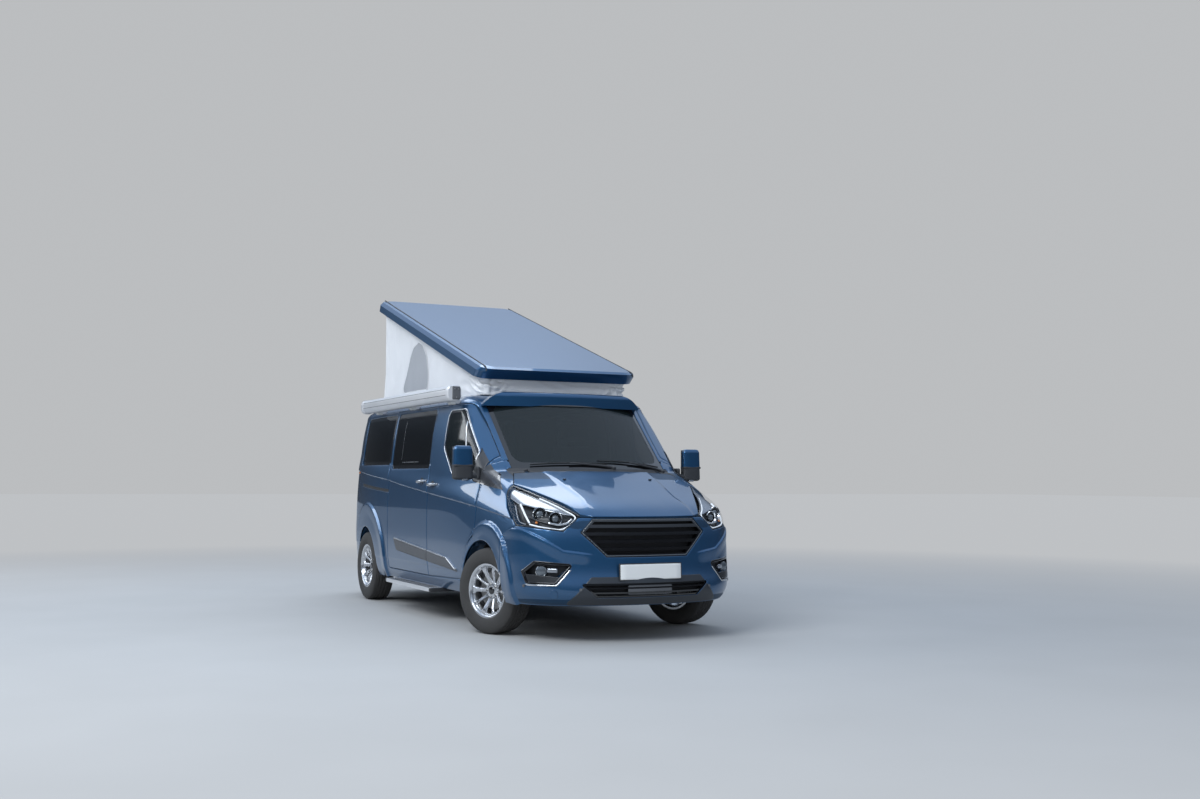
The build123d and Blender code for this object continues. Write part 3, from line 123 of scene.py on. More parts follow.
def end_point(t, nose, nose_r, corner_r, cheek_r, cheek_x, half):
    """A point of one end: t runs 0 to 1 round the nose arc, to 2 round the corner, to 3 round the cheek."""
    tx, cx, cy, ly, a1, a2 = end_arcs(nose, nose_r, corner_r, cheek_r, cheek_x, half)
    n, c = np.clip(t, 0, 1) * a1, a1 + np.clip(t - 1, 0, 1) * (a2 - a1)
    k = a2 + np.clip(t - 2, 0, 1) * (pi / 2 - a2)
    x = np.where(t < 1, tx + nose_r * np.cos(n), np.where(t < 2, cx + corner_r * np.cos(c),
                                                          cheek_x + cheek_r * np.cos(k)))
    y = np.where(t < 1, nose_r * np.sin(n), np.where(t < 2, cy + corner_r * np.sin(c),
                                                     ly + cheek_r * np.sin(k)))
    return x, y


def hull(s, z):
    """Points of the left half of the body: s runs from the nose (0) by corner (1), cheek (2), flat side
    (3 to 4), rear cheek (5) and rear corner (6) to the tail's middle (7)."""
    s, z = np.broadcast_arrays(np.asarray(s, float), np.asarray(z, float))
    nose, nose_r, corner_r, cheek_r, half, tail, tail_r = row_at(z)
    fx, fy = end_point(np.minimum(s, 3), nose, nose_r, corner_r, cheek_r, FRONT_CHEEK_X, half)
    rx, ry = end_point(np.minimum(7 - s, 3), -tail, TAIL_R, tail_r, REAR_CHEEK_R, -REAR_CHEEK_X, half)
    mid = FRONT_CHEEK_X + (s - 3) * (REAR_CHEEK_X - FRONT_CHEEK_X)
    x = np.where(s < 3, fx, np.where(s <= 4, mid, -rx))
    y = np.where(s < 3, fy, np.where(s <= 4, half, ry))
    return np.stack([x, y, z], -1)


def side_y(x, z):
    """Half width of the body at x and height z."""
    x, z = np.broadcast_arrays(np.asarray(x, float), np.asarray(z, float))
    nose, nose_r, corner_r, cheek_r, half, tail, tail_r = row_at(z)
    out = np.array(half)
    for end, pick in ((1, x > FRONT_CHEEK_X), (-1, x < REAR_CHEEK_X)):
        if not pick.any():
            continue
        a = [v[pick] for v in ((nose, nose_r, corner_r, cheek_r) if end > 0 else
                               (-tail, TAIL_R + 0 * tail, tail_r, REAR_CHEEK_R + 0 * tail))]
        cheek_x = FRONT_CHEEK_X if end > 0 else -REAR_CHEEK_X
        xx = end * x[pick]
        tx, cx, cy, ly, a1, a2 = end_arcs(*a, cheek_x, half[pick])
        xe, xn = cheek_x + a[3] * np.cos(a2), tx + a[1] * np.cos(a1)
        cheek = ly + np.sqrt(np.maximum(a[3]**2 - (xx - cheek_x)**2, 0))
        corner = cy + np.sqrt(np.maximum(a[2]**2 - (xx - cx)**2, 0))
        tip = np.sqrt(np.maximum(a[1]**2 - (xx - tx)**2, 0))
        out[pick] = np.where(xx < xe, cheek, np.where(xx < xn, corner, tip))
    return out


# Triangle sheets cut to outlines
def grid(s, z):
    """Parameter points and triangles of a grid of s by z."""
    S, Z = np.meshgrid(s, z, indexing="ij")
    i = np.arange(S.size).reshape(S.shape)
    a, b, c, d = (v.ravel() for v in (i[:-1, :-1], i[1:, :-1], i[1:, 1:], i[:-1, 1:]))
    return np.stack([S.ravel(), Z.ravel()], 1), np.concatenate([np.stack([a, b, c], 1),
                                                                np.stack([a, c, d], 1)])


def split(uv, tris, value, keep=False):
    """Triangles cut along the line where value(uv) is 0; with keep, only those on its positive side stay."""
    v = value(uv)
    up = v >= 0
    t = up[tris]
    count = t.sum(1)
    cross = (count == 1) | (count == 2)
    c, tc = tris[cross], t[cross]
    lone = np.where(count[cross] == 1, tc.argmax(1), (~tc).argmax(1))
    r = np.arange(len(c))
    a, b, d = c[r, lone], c[r, (lone + 1) % 3], c[r, (lone + 2) % 3]
    edges = np.sort(np.concatenate([np.stack([a, b], 1), np.stack([a, d], 1)]), 1)
    if len(edges):
        u, inv = np.unique(edges, axis=0, return_inverse=True)
        inv = inv.ravel()
        w = v[u[:, 0]] / (v[u[:, 0]] - v[u[:, 1]])
        p, q = len(uv) + inv[:len(c)], len(uv) + inv[len(c):]
        uv = np.concatenate([uv, uv[u[:, 0]] + (uv[u[:, 1]] - uv[u[:, 0]]) * w[:, None]])
        v = np.concatenate([v, np.zeros(len(u))])
        tris = np.concatenate([tris[~cross], np.stack([a, p, q], 1), np.stack([p, b, d], 1),
                               np.stack([p, d, q], 1)])
    if keep:
        tris = tris[v[tris].sum(1) > 0]
    return uv, tris


def inset(points, r):
    """A closed outline's corners moved inwards by r; the outline runs counter-clockwise."""
    p = np.asarray(points, float)
    ahead, back = np.roll(p, -1, 0) - p, p - np.roll(p, 1, 0)
    n1 = np.stack([-back[:, 1], back[:, 0]], 1) / np.linalg.norm(back, axis=1)[:, None]
    n2 = np.stack([-ahead[:, 1], ahead[:, 0]], 1) / np.linalg.norm(ahead, axis=1)[:, None]
    return p + (n1 + n2) / (1 + (n1 * n2).sum(1))[:, None] * r


def outline(points, radius=0.0, grow=0.0):
    """A function of two coordinates: the distance inside a closed outline, negative outside. Its corners are
    rounded to radius, and grow moves the line outwards."""
    p = np.asarray(points, float)
    area = (p[:, 0] * np.roll(p[:, 1], -1) - np.roll(p[:, 0], -1) * p[:, 1]).sum()
    if area < 0:
        p = p[::-1]
    p = inset(p, radius) if radius else p
    q = np.roll(p, -1, 0)

    def inside(a, b):
        best, parity = np.full(a.shape, 1e9), np.zeros(a.shape, bool)
        for (x0, y0), (x1, y1) in zip(p, q):
            ex, ey = x1 - x0, y1 - y0
            t = np.clip(((a - x0) * ex + (b - y0) * ey) / (ex * ex + ey * ey), 0, 1)
            best = np.minimum(best, (a - x0 - t * ex)**2 + (b - y0 - t * ey)**2)
            if y0 != y1:
                hit = ((y0 > b) != (y1 > b)) & (a < x0 + (b - y0) * ex / ey)
                parity ^= hit
        return np.where(parity, 1, -1) * np.sqrt(best) + radius + grow
    return inside


def box_outline(x0, x1, y0, y1, radius=0.0, grow=0.0):
    """The outline of an upright rectangle."""
    return outline([(x0, y0), (x1, y0), (x1, y1), (x0, y1)], radius, grow)


def side(f):
    """An outline seen from the side, as a function of points."""
    return lambda p: f(p[:, 0], p[:, 2])


def front(f):
    """An outline seen from the front."""
    return lambda p: f(p[:, 1], p[:, 2])


def plan(f):
    """An outline seen from above."""
    return lambda p: f(p[:, 0], p[:, 1])


def both(*fs):
    """Where all the regions overlap."""
    return lambda p: np.minimum.reduce([f(p) for f in fs])


def less(f, *holes):
    """A region without its holes."""
    return lambda p: np.minimum.reduce([f(p)] + [-h(p) for h in holes])


def above(z):
    return lambda p: p[:, 2] - z


def below(z):
    return lambda p: z - p[:, 2]


def smooth(t):
    """Eases from 0 to 1 as t runs from 0 to 1: t t (3 - 2 t)."""
    t = np.clip(t, 0, 1)
    return t * t * (3 - 2 * t)


def left_surface(uv):
    """The hull's left half at parameter points."""
    return hull(uv[:, 0], np.clip(uv[:, 1], CREASES[0], CREASES[-1]))


def full_surface(uv):
    """The whole nose: s below 0 is the right half."""
    p = hull(np.abs(uv[:, 0]), np.clip(uv[:, 1], CREASES[0], CREASES[-1]))
    p[:, 1] *= np.sign(uv[:, 0])
    return p


def normals_of(surface, uv, step=1e-4):
    """Unit normals of a surface at parameter points, turned away from the van's middle."""
    z = np.clip(uv[:, 1], CREASES[0] + 2 * step, CREASES[-1] - 2 * step)
    base = np.stack([uv[:, 0], z], 1)
    du = surface(base + (step, 0)) - surface(base - (step, 0))
    dv = surface(base + (0, step)) - surface(base - (0, step))
    n = np.cross(du, dv)
    n /= np.maximum(np.linalg.norm(n, axis=1), 1e-12)[:, None]
    out = surface(base) - (-0.3, 0, 0.9)
    return n * np.where((n * out).sum(1) < 0, -1, 1)[:, None]


def mesh_object(name, points, faces, mat, body, smooth_angle=35, slot=""):
    """A mesh piece from points and equal-sized faces, riding a body of the frame. Its slot is looked up from
    its material unless another is given, and None stands for no slot, but the slot is not applied."""
    faces = np.asarray(faces)
    used, inv = np.unique(faces, return_inverse=True)
    points, faces = np.asarray(points, float)[used], inv.reshape(faces.shape)
    mesh = bpy.data.meshes.new(name)
    k = faces.shape[1]
    mesh.vertices.add(len(points))
    mesh.vertices.foreach_set("co", points.astype(np.float32).ravel())
    mesh.loops.add(faces.size)
    mesh.loops.foreach_set("vertex_index", faces.astype(np.int32).ravel())
    mesh.polygons.add(len(faces))
    mesh.polygons.foreach_set("loop_start", np.arange(0, faces.size, k, dtype=np.int32))
    mesh.update(calc_edges=True)
    mesh.validate()
    mesh.polygons.foreach_set("use_smooth", np.ones(len(mesh.polygons), bool))
    mesh.set_sharp_from_angle(angle=radians(smooth_angle))
    obj = bpy.data.objects.new(name, mesh)
    bpy.context.scene.collection.objects.link(obj)
    mesh.materials.append(M[mat])
    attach(obj, body)
    slot = SLOT_OF.get(mat) if slot == "" else slot
    return obj


def skin(name, surface, s, z, region, mat, body="body", lift=0.002, shape=None, creases=(), roll=0.004,
         right=False, slot=""):
    """A panel's outer skin: a surface sampled over s by z and cut to a region, then lifted along its normal
    by lift and shape(p), with its edges rolled in over roll. The mesh is also cut along the creases."""
    uv, tris = grid(s, z)
    d = region(surface(uv))
    tris = tris[d[tris].max(1) > -0.06]
    for crease in creases:
        uv, tris = split(uv, tris, lambda q: crease(surface(q)))
    for level in (roll, roll * 0.4, 0):
        if level or not roll:
            uv, tris = split(uv, tris, lambda q: region(surface(q)) - level)
    uv, tris = split(uv, tris, lambda q: region(surface(q)), keep=True)
    p, n = surface(uv), normals_of(surface, uv)
    d = region(p)
    rise = np.full(len(p), lift)
    if shape is not None:
        rise = rise + shape(p)
    if roll:
        rise = rise - roll * 0.8 * (1 - np.clip(d / roll, 0, 1))**2
    out = p + n * rise[:, None]
    a, b, c = out[tris[:, 0]], out[tris[:, 1]], out[tris[:, 2]]
    flip = (np.cross(b - a, c - a) * n[tris[:, 0]]).sum(1) < 0
    tris[flip] = tris[flip][:, ::-1]
    if right:
        out = out * (1, -1, 1)
        tris = tris[:, ::-1]
    return mesh_object(name, out, tris, mat, body, slot=slot)


# Materials
class Value:
    """One socket of a node tree; arithmetic on it adds Math nodes."""

    def __init__(self, tree, socket):
        self.tree, self.socket = tree, socket

    def maths(self, kind, *args):
        return self.tree.add("ShaderNodeMath", {"operation": kind}, {i: v for i, v in enumerate(args)})

    def __add__(self, other):
        return self.maths("ADD", self, other)

    def __sub__(self, other):
        return self.maths("SUBTRACT", self, other)

    def __rsub__(self, other):
        return self.maths("SUBTRACT", other, self)

    def __mul__(self, other):
        return self.maths("MULTIPLY", self, other)

    def __truediv__(self, other):
        return self.maths("DIVIDE", self, other)

    def __gt__(self, other):
        return self.maths("GREATER_THAN", self, other)

    def __lt__(self, other):
        return self.maths("LESS_THAN", self, other)

    __radd__, __rmul__ = __add__, __mul__

    def clipped(self):
        return self.tree.add("ShaderNodeMath", {"operation": "ADD", "use_clamp": True}, {0: self, 1: 0.0})

    def waves(self):
        return self.maths("SINE", self)

    def size(self):
        return self.maths("ABSOLUTE", self)

    def part(self, index):
        """X, Y or Z of a vector."""
        return self.tree.add("ShaderNodeSeparateXYZ", {}, {0: self}, out=index)


class Tree:
    """A material's node tree."""

    def __init__(self, name):
        self.material = bpy.data.materials.new(name)
        self.material.use_nodes = True
        self.tree = self.material.node_tree
        self.tree.nodes.clear()
        self.end = self.tree.nodes.new("ShaderNodeOutputMaterial")

    def add(self, kind, settings, inputs, out=0):
        node = self.tree.nodes.new(kind)
        for key, value in settings.items():
            setattr(node, key, value)
        for key, value in inputs.items():
            if isinstance(value, Value):
                self.tree.links.new(value.socket, node.inputs[key])
            else:
                node.inputs[key].default_value = value
        return Value(self, node.outputs[out])

    def place(self):
        return self.add("ShaderNodeTexCoord", {}, {}, out="Object")

    def noise(self, scale, detail=2.0, where=None, rough=0.5):
        return self.add("ShaderNodeTexNoise", {}, {"Vector": where or self.place(), "Scale": scale,
                                                   "Detail": detail, "Roughness": rough})

    def mix(self, fac, a, b):
        return self.add("ShaderNodeMix", {"data_type": "RGBA"}, {0: fac, 6: a, 7: b}, out=2)

    def bump(self, height, distance, strength=1.0, normal=None):
        inputs = {"Height": height, "Distance": distance, "Strength": strength}
        if normal:
            inputs["Normal"] = normal
        return self.add("ShaderNodeBump", {}, inputs)

    def surface(self, **inputs):
        """Ends the tree with a principled shader; underscores stand for spaces."""
        shader = self.add("ShaderNodeBsdfPrincipled", {}, {k.replace("_", " "): v for k, v in inputs.items()})
        self.tree.links.new(shader.socket, self.end.inputs["Surface"])
        return self.material


def colour(*rgb):
    return (*rgb, 1.0)


def plain(name, rgb, rough, metal=0.0, mottle=0.12, mottle_scale=6.0, grain=0.0, grain_scale=900.0, **more):
    """A solid colour with slow mottling of tone and roughness and a fine grain where it has one."""
    t = Tree(name)
    slow = t.noise(mottle_scale, 4.0)
    dark = colour(*(c * (1 - mottle) for c in rgb))
    light = colour(*(min(c * (1 + mottle), 1) for c in rgb))
    inputs = {"Base_Color": t.mix(slow, dark, light), "Roughness": (slow - 0.5) * 0.16 + rough,
              "Metallic": metal}
    if grain:
        inputs["Normal"] = t.bump(t.noise(grain_scale, 2.0), grain)
    return t.surface(**inputs, **more)


def paint(name, rgb, rough=0.34):
    """Metallic paint under a clear coat, with fine flake and a faint skin texture in the coat."""
    t = Tree(name)
    where = t.place()
    flake = t.add("ShaderNodeTexVoronoi", {}, {"Vector": where, "Scale": 1400.0}, out="Color")
    tone = (flake.part(0) - 0.5) * 0.30 + 0.5
    slow = t.noise(1.3, 2.0, where)
    base = t.mix(tone, colour(*(c * 0.80 for c in rgb)), colour(*(min(c * 1.22, 1) for c in rgb)))
    dust = ((0.70 - where.part(2)) * 1.5).clipped() * (slow * 0.10)
    base = t.mix(dust, base, colour(0.30, 0.29, 0.27))
    peel = t.bump(t.noise(60.0, 1.0, where), 0.00012)
    return t.surface(Base_Color=base, Roughness=tone * 0.10 + (rough - 0.05), Metallic=0.72, Coat_Weight=1.0,
                     Coat_Roughness=0.035, Normal=peel)


def glass(name, rgb, alpha, rough=0.03):
    """Tinted pane: mostly seen through, with a clear gloss on it."""
    t = Tree(name)
    film = t.noise(2.5, 3.0)
    return t.surface(Base_Color=colour(*rgb), Roughness=film * 0.05 + rough,
                     Alpha=(film - 0.5) * 0.04 + alpha, Specular_IOR_Level=0.5)


def glow(name, rgb, strength):
    """A faintly lit strip with fine cross ribs."""
    t = Tree(name)
    ribs = (t.place().part(1) * 700.0).waves() * 0.15 + 0.85
    base = t.mix(ribs, colour(*(c * 0.6 for c in rgb)), colour(*rgb))
    return t.surface(Base_Color=base, Roughness=0.25, Emission_Color=base, Emission_Strength=strength)


def lens(name, rgb, alpha, pitch=160.0):
    """Moulded lens with fine ribs."""
    t = Tree(name)
    where = t.place()
    ribs = (where.part(1) * pitch * 6.28).waves() * (where.part(2) * pitch * 6.28).waves()
    return t.surface(Base_Color=t.mix(ribs * 0.2 + 0.5, colour(*(c * 0.7 for c in rgb)), colour(*rgb)),
                     Roughness=0.12, Alpha=alpha, Coat_Weight=1.0, Coat_Roughness=0.03,
                     Normal=t.bump(ribs, 0.0006))


def cloth_material(name, rgb, pitch=1100.0, wear=0.10):
    """Woven cloth: two crossing threads, with soft soiling."""
    t = Tree(name)
    where = t.place()
    weave = (where.part(0) * pitch).waves() * ((where.part(2) + where.part(1)) * pitch).waves()
    soil = t.noise(4.0, 5.0, where)
    fold = t.noise(14.0, 3.0, where)
    base = t.mix(soil, colour(*(c * (1 - wear) for c in rgb)), colour(*(min(c * (1 + wear), 1) for c in rgb)))
    height = t.bump(weave, 0.0002, normal=t.bump(fold, 0.004, 0.5))
    return t.surface(Base_Color=base, Roughness=soil * 0.1 + 0.8, Normal=height, Sheen_Weight=0.15)


M = {
    "paint": paint("blue_paint", (0.017, 0.084, 0.190)),
    # A darker blue for the CAD nodes, so the gaps between the skins and the doors' inner faces read dark:
    # painted shade
    "jamb_shade": plain("jamb_painted_shade", (0.010, 0.040, 0.085), 0.42, 0.4, grain=0.0001),
    "dark": plain("dark_plastic", (0.030, 0.031, 0.034), 0.55, grain=0.0004, grain_scale=700),
    "grey": plain("grey_plastic", (0.085, 0.088, 0.094), 0.5, grain=0.0003, grain_scale=700),
    "gloss": plain("gloss_black", (0.006, 0.006, 0.007), 0.10, mottle=0.3, Coat_Weight=0.8),
    "insert": plain("bumper_insert", (0.024, 0.028, 0.034), 0.38, mottle=0.15, grain=0.0002, grain_scale=600),
    "rim_grey": plain("grille_rim", (0.16, 0.17, 0.18), 0.25, 0.7, mottle=0.1),
    "sail": plain("sail_grey", (0.045, 0.047, 0.052), 0.30, mottle=0.1),
    "seal": plain("rubber_seal", (0.012, 0.012, 0.013), 0.7, grain=0.0002),
    "chrome": plain("chrome", (0.78, 0.79, 0.80), 0.08, 1.0, mottle=0.04),
    "satin": plain("satin_silver", (0.55, 0.56, 0.58), 0.28, 0.9, mottle=0.05),
    "alloy": plain("alloy", (0.66, 0.67, 0.69), 0.24, 0.95, mottle=0.05, grain=0.00005, Coat_Weight=0.6),
    "steel": plain("steel", (0.35, 0.34, 0.33), 0.42, 0.9, mottle=0.2, mottle_scale=30, grain=0.0002),
    "cast": plain("cast_iron", (0.10, 0.095, 0.09), 0.65, 0.5, mottle=0.3, mottle_scale=24, grain=0.0008,
                  grain_scale=300),
    "under": plain("underbody", (0.022, 0.022, 0.023), 0.75, mottle=0.3, grain=0.0006, grain_scale=160),
    "tyre": plain("tyre_rubber", (0.040, 0.038, 0.036), 0.80, mottle=0.25, mottle_scale=18, grain=0.0002,
                  grain_scale=1200),
    "screen": glass("screen_glass", (0.012, 0.017, 0.018), 0.62),
    "door_glass": glass("door_glass", (0.010, 0.014, 0.015), 0.72),
    "privacy": glass("privacy_glass", (0.003, 0.0035, 0.004), 0.96),
    "clear": glass("clear_lens", (0.02, 0.022, 0.025), 0.10),
    "red": lens("red_lens", (0.42, 0.012, 0.012), 1.0),
    "amber": lens("amber_lens", (0.75, 0.22, 0.02), 1.0),
    "led": glow("led_strip", (0.85, 0.90, 0.95), 0.35),
    "red_glow": lens("red_lens_core", (0.55, 0.02, 0.02), 1.0, 260.0),
    "lamp_dark": plain("lamp_housing", (0.020, 0.021, 0.023), 0.32, mottle=0.2, grain=0.0002),
    "lamp_silver": plain("lamp_reflector", (0.40, 0.42, 0.45), 0.20, 0.9, mottle=0.2, mottle_scale=30),
    "lamp_glass": plain("lamp_glass", (0.13, 0.15, 0.17), 0.05, 0.4, mottle=0.05, Coat_Weight=1.0),
    "mirror": plain("mirror_glass", (0.70, 0.73, 0.75), 0.02, 1.0, mottle=0.02),
    "plate": plain("plate_white", (0.70, 0.70, 0.68), 0.35, mottle=0.03, Coat_Weight=0.5),
    "canvas": cloth_material("tent_canvas", (0.74, 0.74, 0.745)),
    "window": cloth_material("tent_window", (0.36, 0.37, 0.39), 700),
    "awning": plain("awning_aluminium", (0.66, 0.66, 0.67), 0.38, 0.45, mottle=0.06),
    "white": plain("white_plastic", (0.62, 0.62, 0.61), 0.4, mottle=0.05),
    "cabin": plain("cabin_plastic", (0.028, 0.028, 0.030), 0.65, grain=0.0005, grain_scale=500),
    "seat": cloth_material("seat_cloth", (0.040, 0.041, 0.045), 900, 0.2),
    "laminate": plain("laminate", (0.42, 0.40, 0.37), 0.4, mottle=0.08, mottle_scale=12),
}

# A slot name for each material; mesh_object looks a piece's slot up here but does not apply it, and the
# plates have none
SLOT_KEYS = {
    "blue_paint": "paint",
    "dark_trim": "insert seal grey rim_grey gloss dark sail lamp_dark",
    "lamp_lens": "chrome lamp_silver amber clear led lamp_glass red red_glow",
    "alloy": "alloy satin",
    "tyre": "tyre",
    "steel": "steel",
    "cloth": "canvas window",
    "awning_metal": "awning white",
    "glass": "mirror",
    "seat_cloth": "seat",
    "cabin_plastic": "cabin",
    "furniture": "laminate",
}
SLOT_OF = {key: name for name, keys in SLOT_KEYS.items() for key in keys.split()}

# Every CAD node starts in the darker blue: painted shade for the gaps and door jambs under the skins
for name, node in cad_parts.items():
    node.data.materials.clear()
    node.data.materials.append(M["jamb_shade"])


def paint_nodes(mat, *names):
    """Gives CAD nodes a material."""
    for name in names:
        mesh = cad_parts[name].data
        mesh.materials.clear()
        mesh.materials.append(M[mat])


paint_nodes("paint", "roof_panel", "roof_fairing", "tailgate", "rear_bumper", "left_body_side",
            "right_body_side", "pop_up_roof", "right_mirror", "left_mirror")
paint_nodes("privacy", "side_windows", "tailgate_window")
paint_nodes("door_glass", "right_door_window", "left_door_window")
paint_nodes("screen", "windscreen")
paint_nodes("gloss", "grille")
paint_nodes("dark", "scuttle")
paint_nodes("under", "floor_pan", "wheelhouses", "bulkhead", "front_subframe", "rear_axle", "fuel_tank")
paint_nodes("cast", "engine_block", "right_knuckle", "left_knuckle")
paint_nodes("steel", "exhaust", "roof_arms")
paint_nodes("cabin", "dashboard", "steering_wheel")
paint_nodes("laminate", "kitchen_unit")
paint_nodes("awning", "awning_case", "side_step")
paint_nodes("alloy", "front_right_rim", "front_left_rim", "rear_right_rim", "rear_left_rim")
paint_nodes("red", "tail_lamps")

FRONT_AXLE, REAR_AXLE, AXLE_Z = 1.6, -1.7, 0.343
ARCH = 0.400
CREASE_X = np.array([-2.7, -0.99, -0.58, 0.32, 1.01, 1.46, 2.07, 2.4])
CREASE_Z = np.array([1.345, 1.228, 1.186, 1.110, 1.053, 1.010, 0.936, 0.885])


def crease_line(p):
    """Height above the shoulder crease."""
    return p[:, 2] - np.interp(p[:, 0], CREASE_X, CREASE_Z)


# The flares' outer edge: angles from straight ahead over the top to straight back, and the radius at each
FLARE_TURN = np.radians([-40, 0, 25, 46, 66, 87, 106, 125, 150, 180, 220])
FLARE_OUT = {FRONT_AXLE: [0.60, 0.600, 0.600, 0.595, 0.580, 0.561, 0.528, 0.490, 0.462, 0.450, 0.45],
             REAR_AXLE: [0.72, 0.715, 0.710, 0.695, 0.675, 0.654, 0.635, 0.620, 0.605, 0.600, 0.60]}


def flare_line(axle):
    """Distance outside the flare round an axle's wheel, by its radius at each angle."""
    def line(p):
        turn = np.arctan2(p[:, 2] - AXLE_Z, p[:, 0] - axle)
        turn = np.where(turn < -pi / 2, turn + 2 * pi, turn)
        return np.hypot(p[:, 0] - axle, p[:, 2] - AXLE_Z) - np.interp(turn, FLARE_TURN, FLARE_OUT[axle])
    return line


SIDE_CREASES = [crease_line, lambda p: crease_line(p) + 0.010, flare_line(FRONT_AXLE), flare_line(REAR_AXLE),
                lambda p: flare_line(FRONT_AXLE)(p) + 0.030, lambda p: flare_line(REAR_AXLE)(p) + 0.030,
                lambda p: p[:, 2] - 0.470, lambda p: p[:, 2] - 0.455]


def side_shape(p):
    """How far the side stands out: above the shoulder crease, on the wheel flares and above the sill."""
    up = crease_line(p)
    fade = smooth((p[:, 0] + 2.55) / 0.30)
    rise = 0.0145 * smooth(up / 0.010 + 1) * (1 - smooth(up / 0.19)) * fade
    for axle in (FRONT_AXLE, REAR_AXLE):
        inside = -flare_line(axle)(p)
        rise = np.maximum(rise, 0.020 * smooth(inside / 0.030) * (1 - 0.40 * smooth((inside - 0.035) / 0.12)))
    return rise + 0.004 * smooth((p[:, 2] - 0.455) / 0.015) * (1 - smooth((p[:, 2] - 0.47) / 0.2))


def arch(axle):
    """Distance outside an axle's wheel opening."""
    return lambda p: np.hypot(p[:, 0] - axle, p[:, 2] - AXLE_Z) - ARCH


DOOR_TURN = np.linspace(radians(133), radians(176.1), 14)
DOOR_EDGE = [(0.278, 0.375), *[(FRONT_AXLE + 0.470 * cos(a), AXLE_Z + 0.470 * sin(a))
                               for a in DOOR_TURN[::-1]], (1.430, 0.781), (1.430, 1.440), (0.915, 1.878),
             (0.278, 1.878)]
DOOR_EDGE = [p for p in DOOR_EDGE if p[1] >= 0.375]
FRONT_WINDOW = [(0.602, 1.826), (0.905, 1.826), (1.300, 1.452), (1.262, 1.243), (0.900, 1.235),
                (0.602, 1.500)]
WING_EDGE = [(1.080, 0.378), (1.985, 0.378), (1.985, 0.800), (2.179, 0.877), (1.998, 1.010), (1.852, 1.189),
             (1.700, 1.330), (1.560, 1.455), (1.435, 1.340), (1.435, 0.760), (1.080, 0.760)]
LAMP_SIDE = [(2.179, 0.877), (2.700, 0.800), (2.700, 1.250), (1.852, 1.189), (1.998, 1.010)]
LAMP_FRONT = [(0.517, 0.962), (0.655, 0.840), (0.913, 0.877), (1.050, 0.877), (1.050, 1.250), (0.812, 1.191)]
BONNET_PLAN = [(2.700, 0.436), (2.700, -0.436), (2.531, -0.436), (2.485, -0.517), (1.852, -0.800),
               (1.660, -0.722), (1.728, -0.330), (1.752, 0), (1.728, 0.330), (1.660, 0.722),
               (1.852, 0.800), (2.485, 0.517), (2.531, 0.436)]
GRILLE = [(-0.345, 0.648), (0.345, 0.648), (0.535, 0.832), (0.436, 0.938), (-0.436, 0.938), (-0.535, 0.832)]
FOG = [(0.592, 0.584), (0.640, 0.650), (0.905, 0.650), (0.940, 0.590), (0.912, 0.520), (0.690, 0.500)]
FOG_LOOK = [(0.590, 0.594), (0.844, 0.617), (0.905, 0.540), (0.885, 0.446), (0.721, 0.445)]
INTAKE = [(-0.560, 0.452), (0.560, 0.452), (0.430, 0.345), (-0.430, 0.345)]
NOSE_SIDE = [(1.9855, 0.265), (2.750, 0.265), (2.750, 0.943), (2.300, 0.943), (2.179, 0.8765),
             (1.9855, 0.799)]

door_edge = side(outline(DOOR_EDGE))
door_cut = side(outline(DOOR_EDGE, grow=0.005))
window_cut = side(outline(FRONT_WINDOW, 0.06))
slide_edge = side(box_outline(-0.915, 0.273, 0.375, 1.878))
slide_cut = side(box_outline(-0.915, 0.273, 0.375, 1.878, grow=0.005))
middle_cut = side(box_outline(-0.870, 0.250, 1.325, 1.852, 0.045))
rear_cut = side(box_outline(-2.120, -0.945, 1.365, 1.852, 0.045))
wing_edge = side(outline(WING_EDGE))
wing_cut = side(outline(WING_EDGE, grow=0.003))
lamp_zone = both(side(outline(LAMP_SIDE)), front(outline(LAMP_FRONT)))
lamp_cut = both(side(outline(LAMP_SIDE, grow=0.003)), front(outline(LAMP_FRONT, grow=0.003)))
bonnet_edge = plan(outline(BONNET_PLAN))
bonnet_cut = plan(outline(BONNET_PLAN, grow=0.005))
bumper_cut = side(box_outline(-2.720, -2.130, 0.2, 0.560, grow=0.003))
tail_lamp_cut = lambda p: np.minimum.reduce([-2.462 - p[:, 0], p[:, 1] - 0.760, p[:, 2] - 0.900,
                                             1.330 - p[:, 2]]) + 0.003

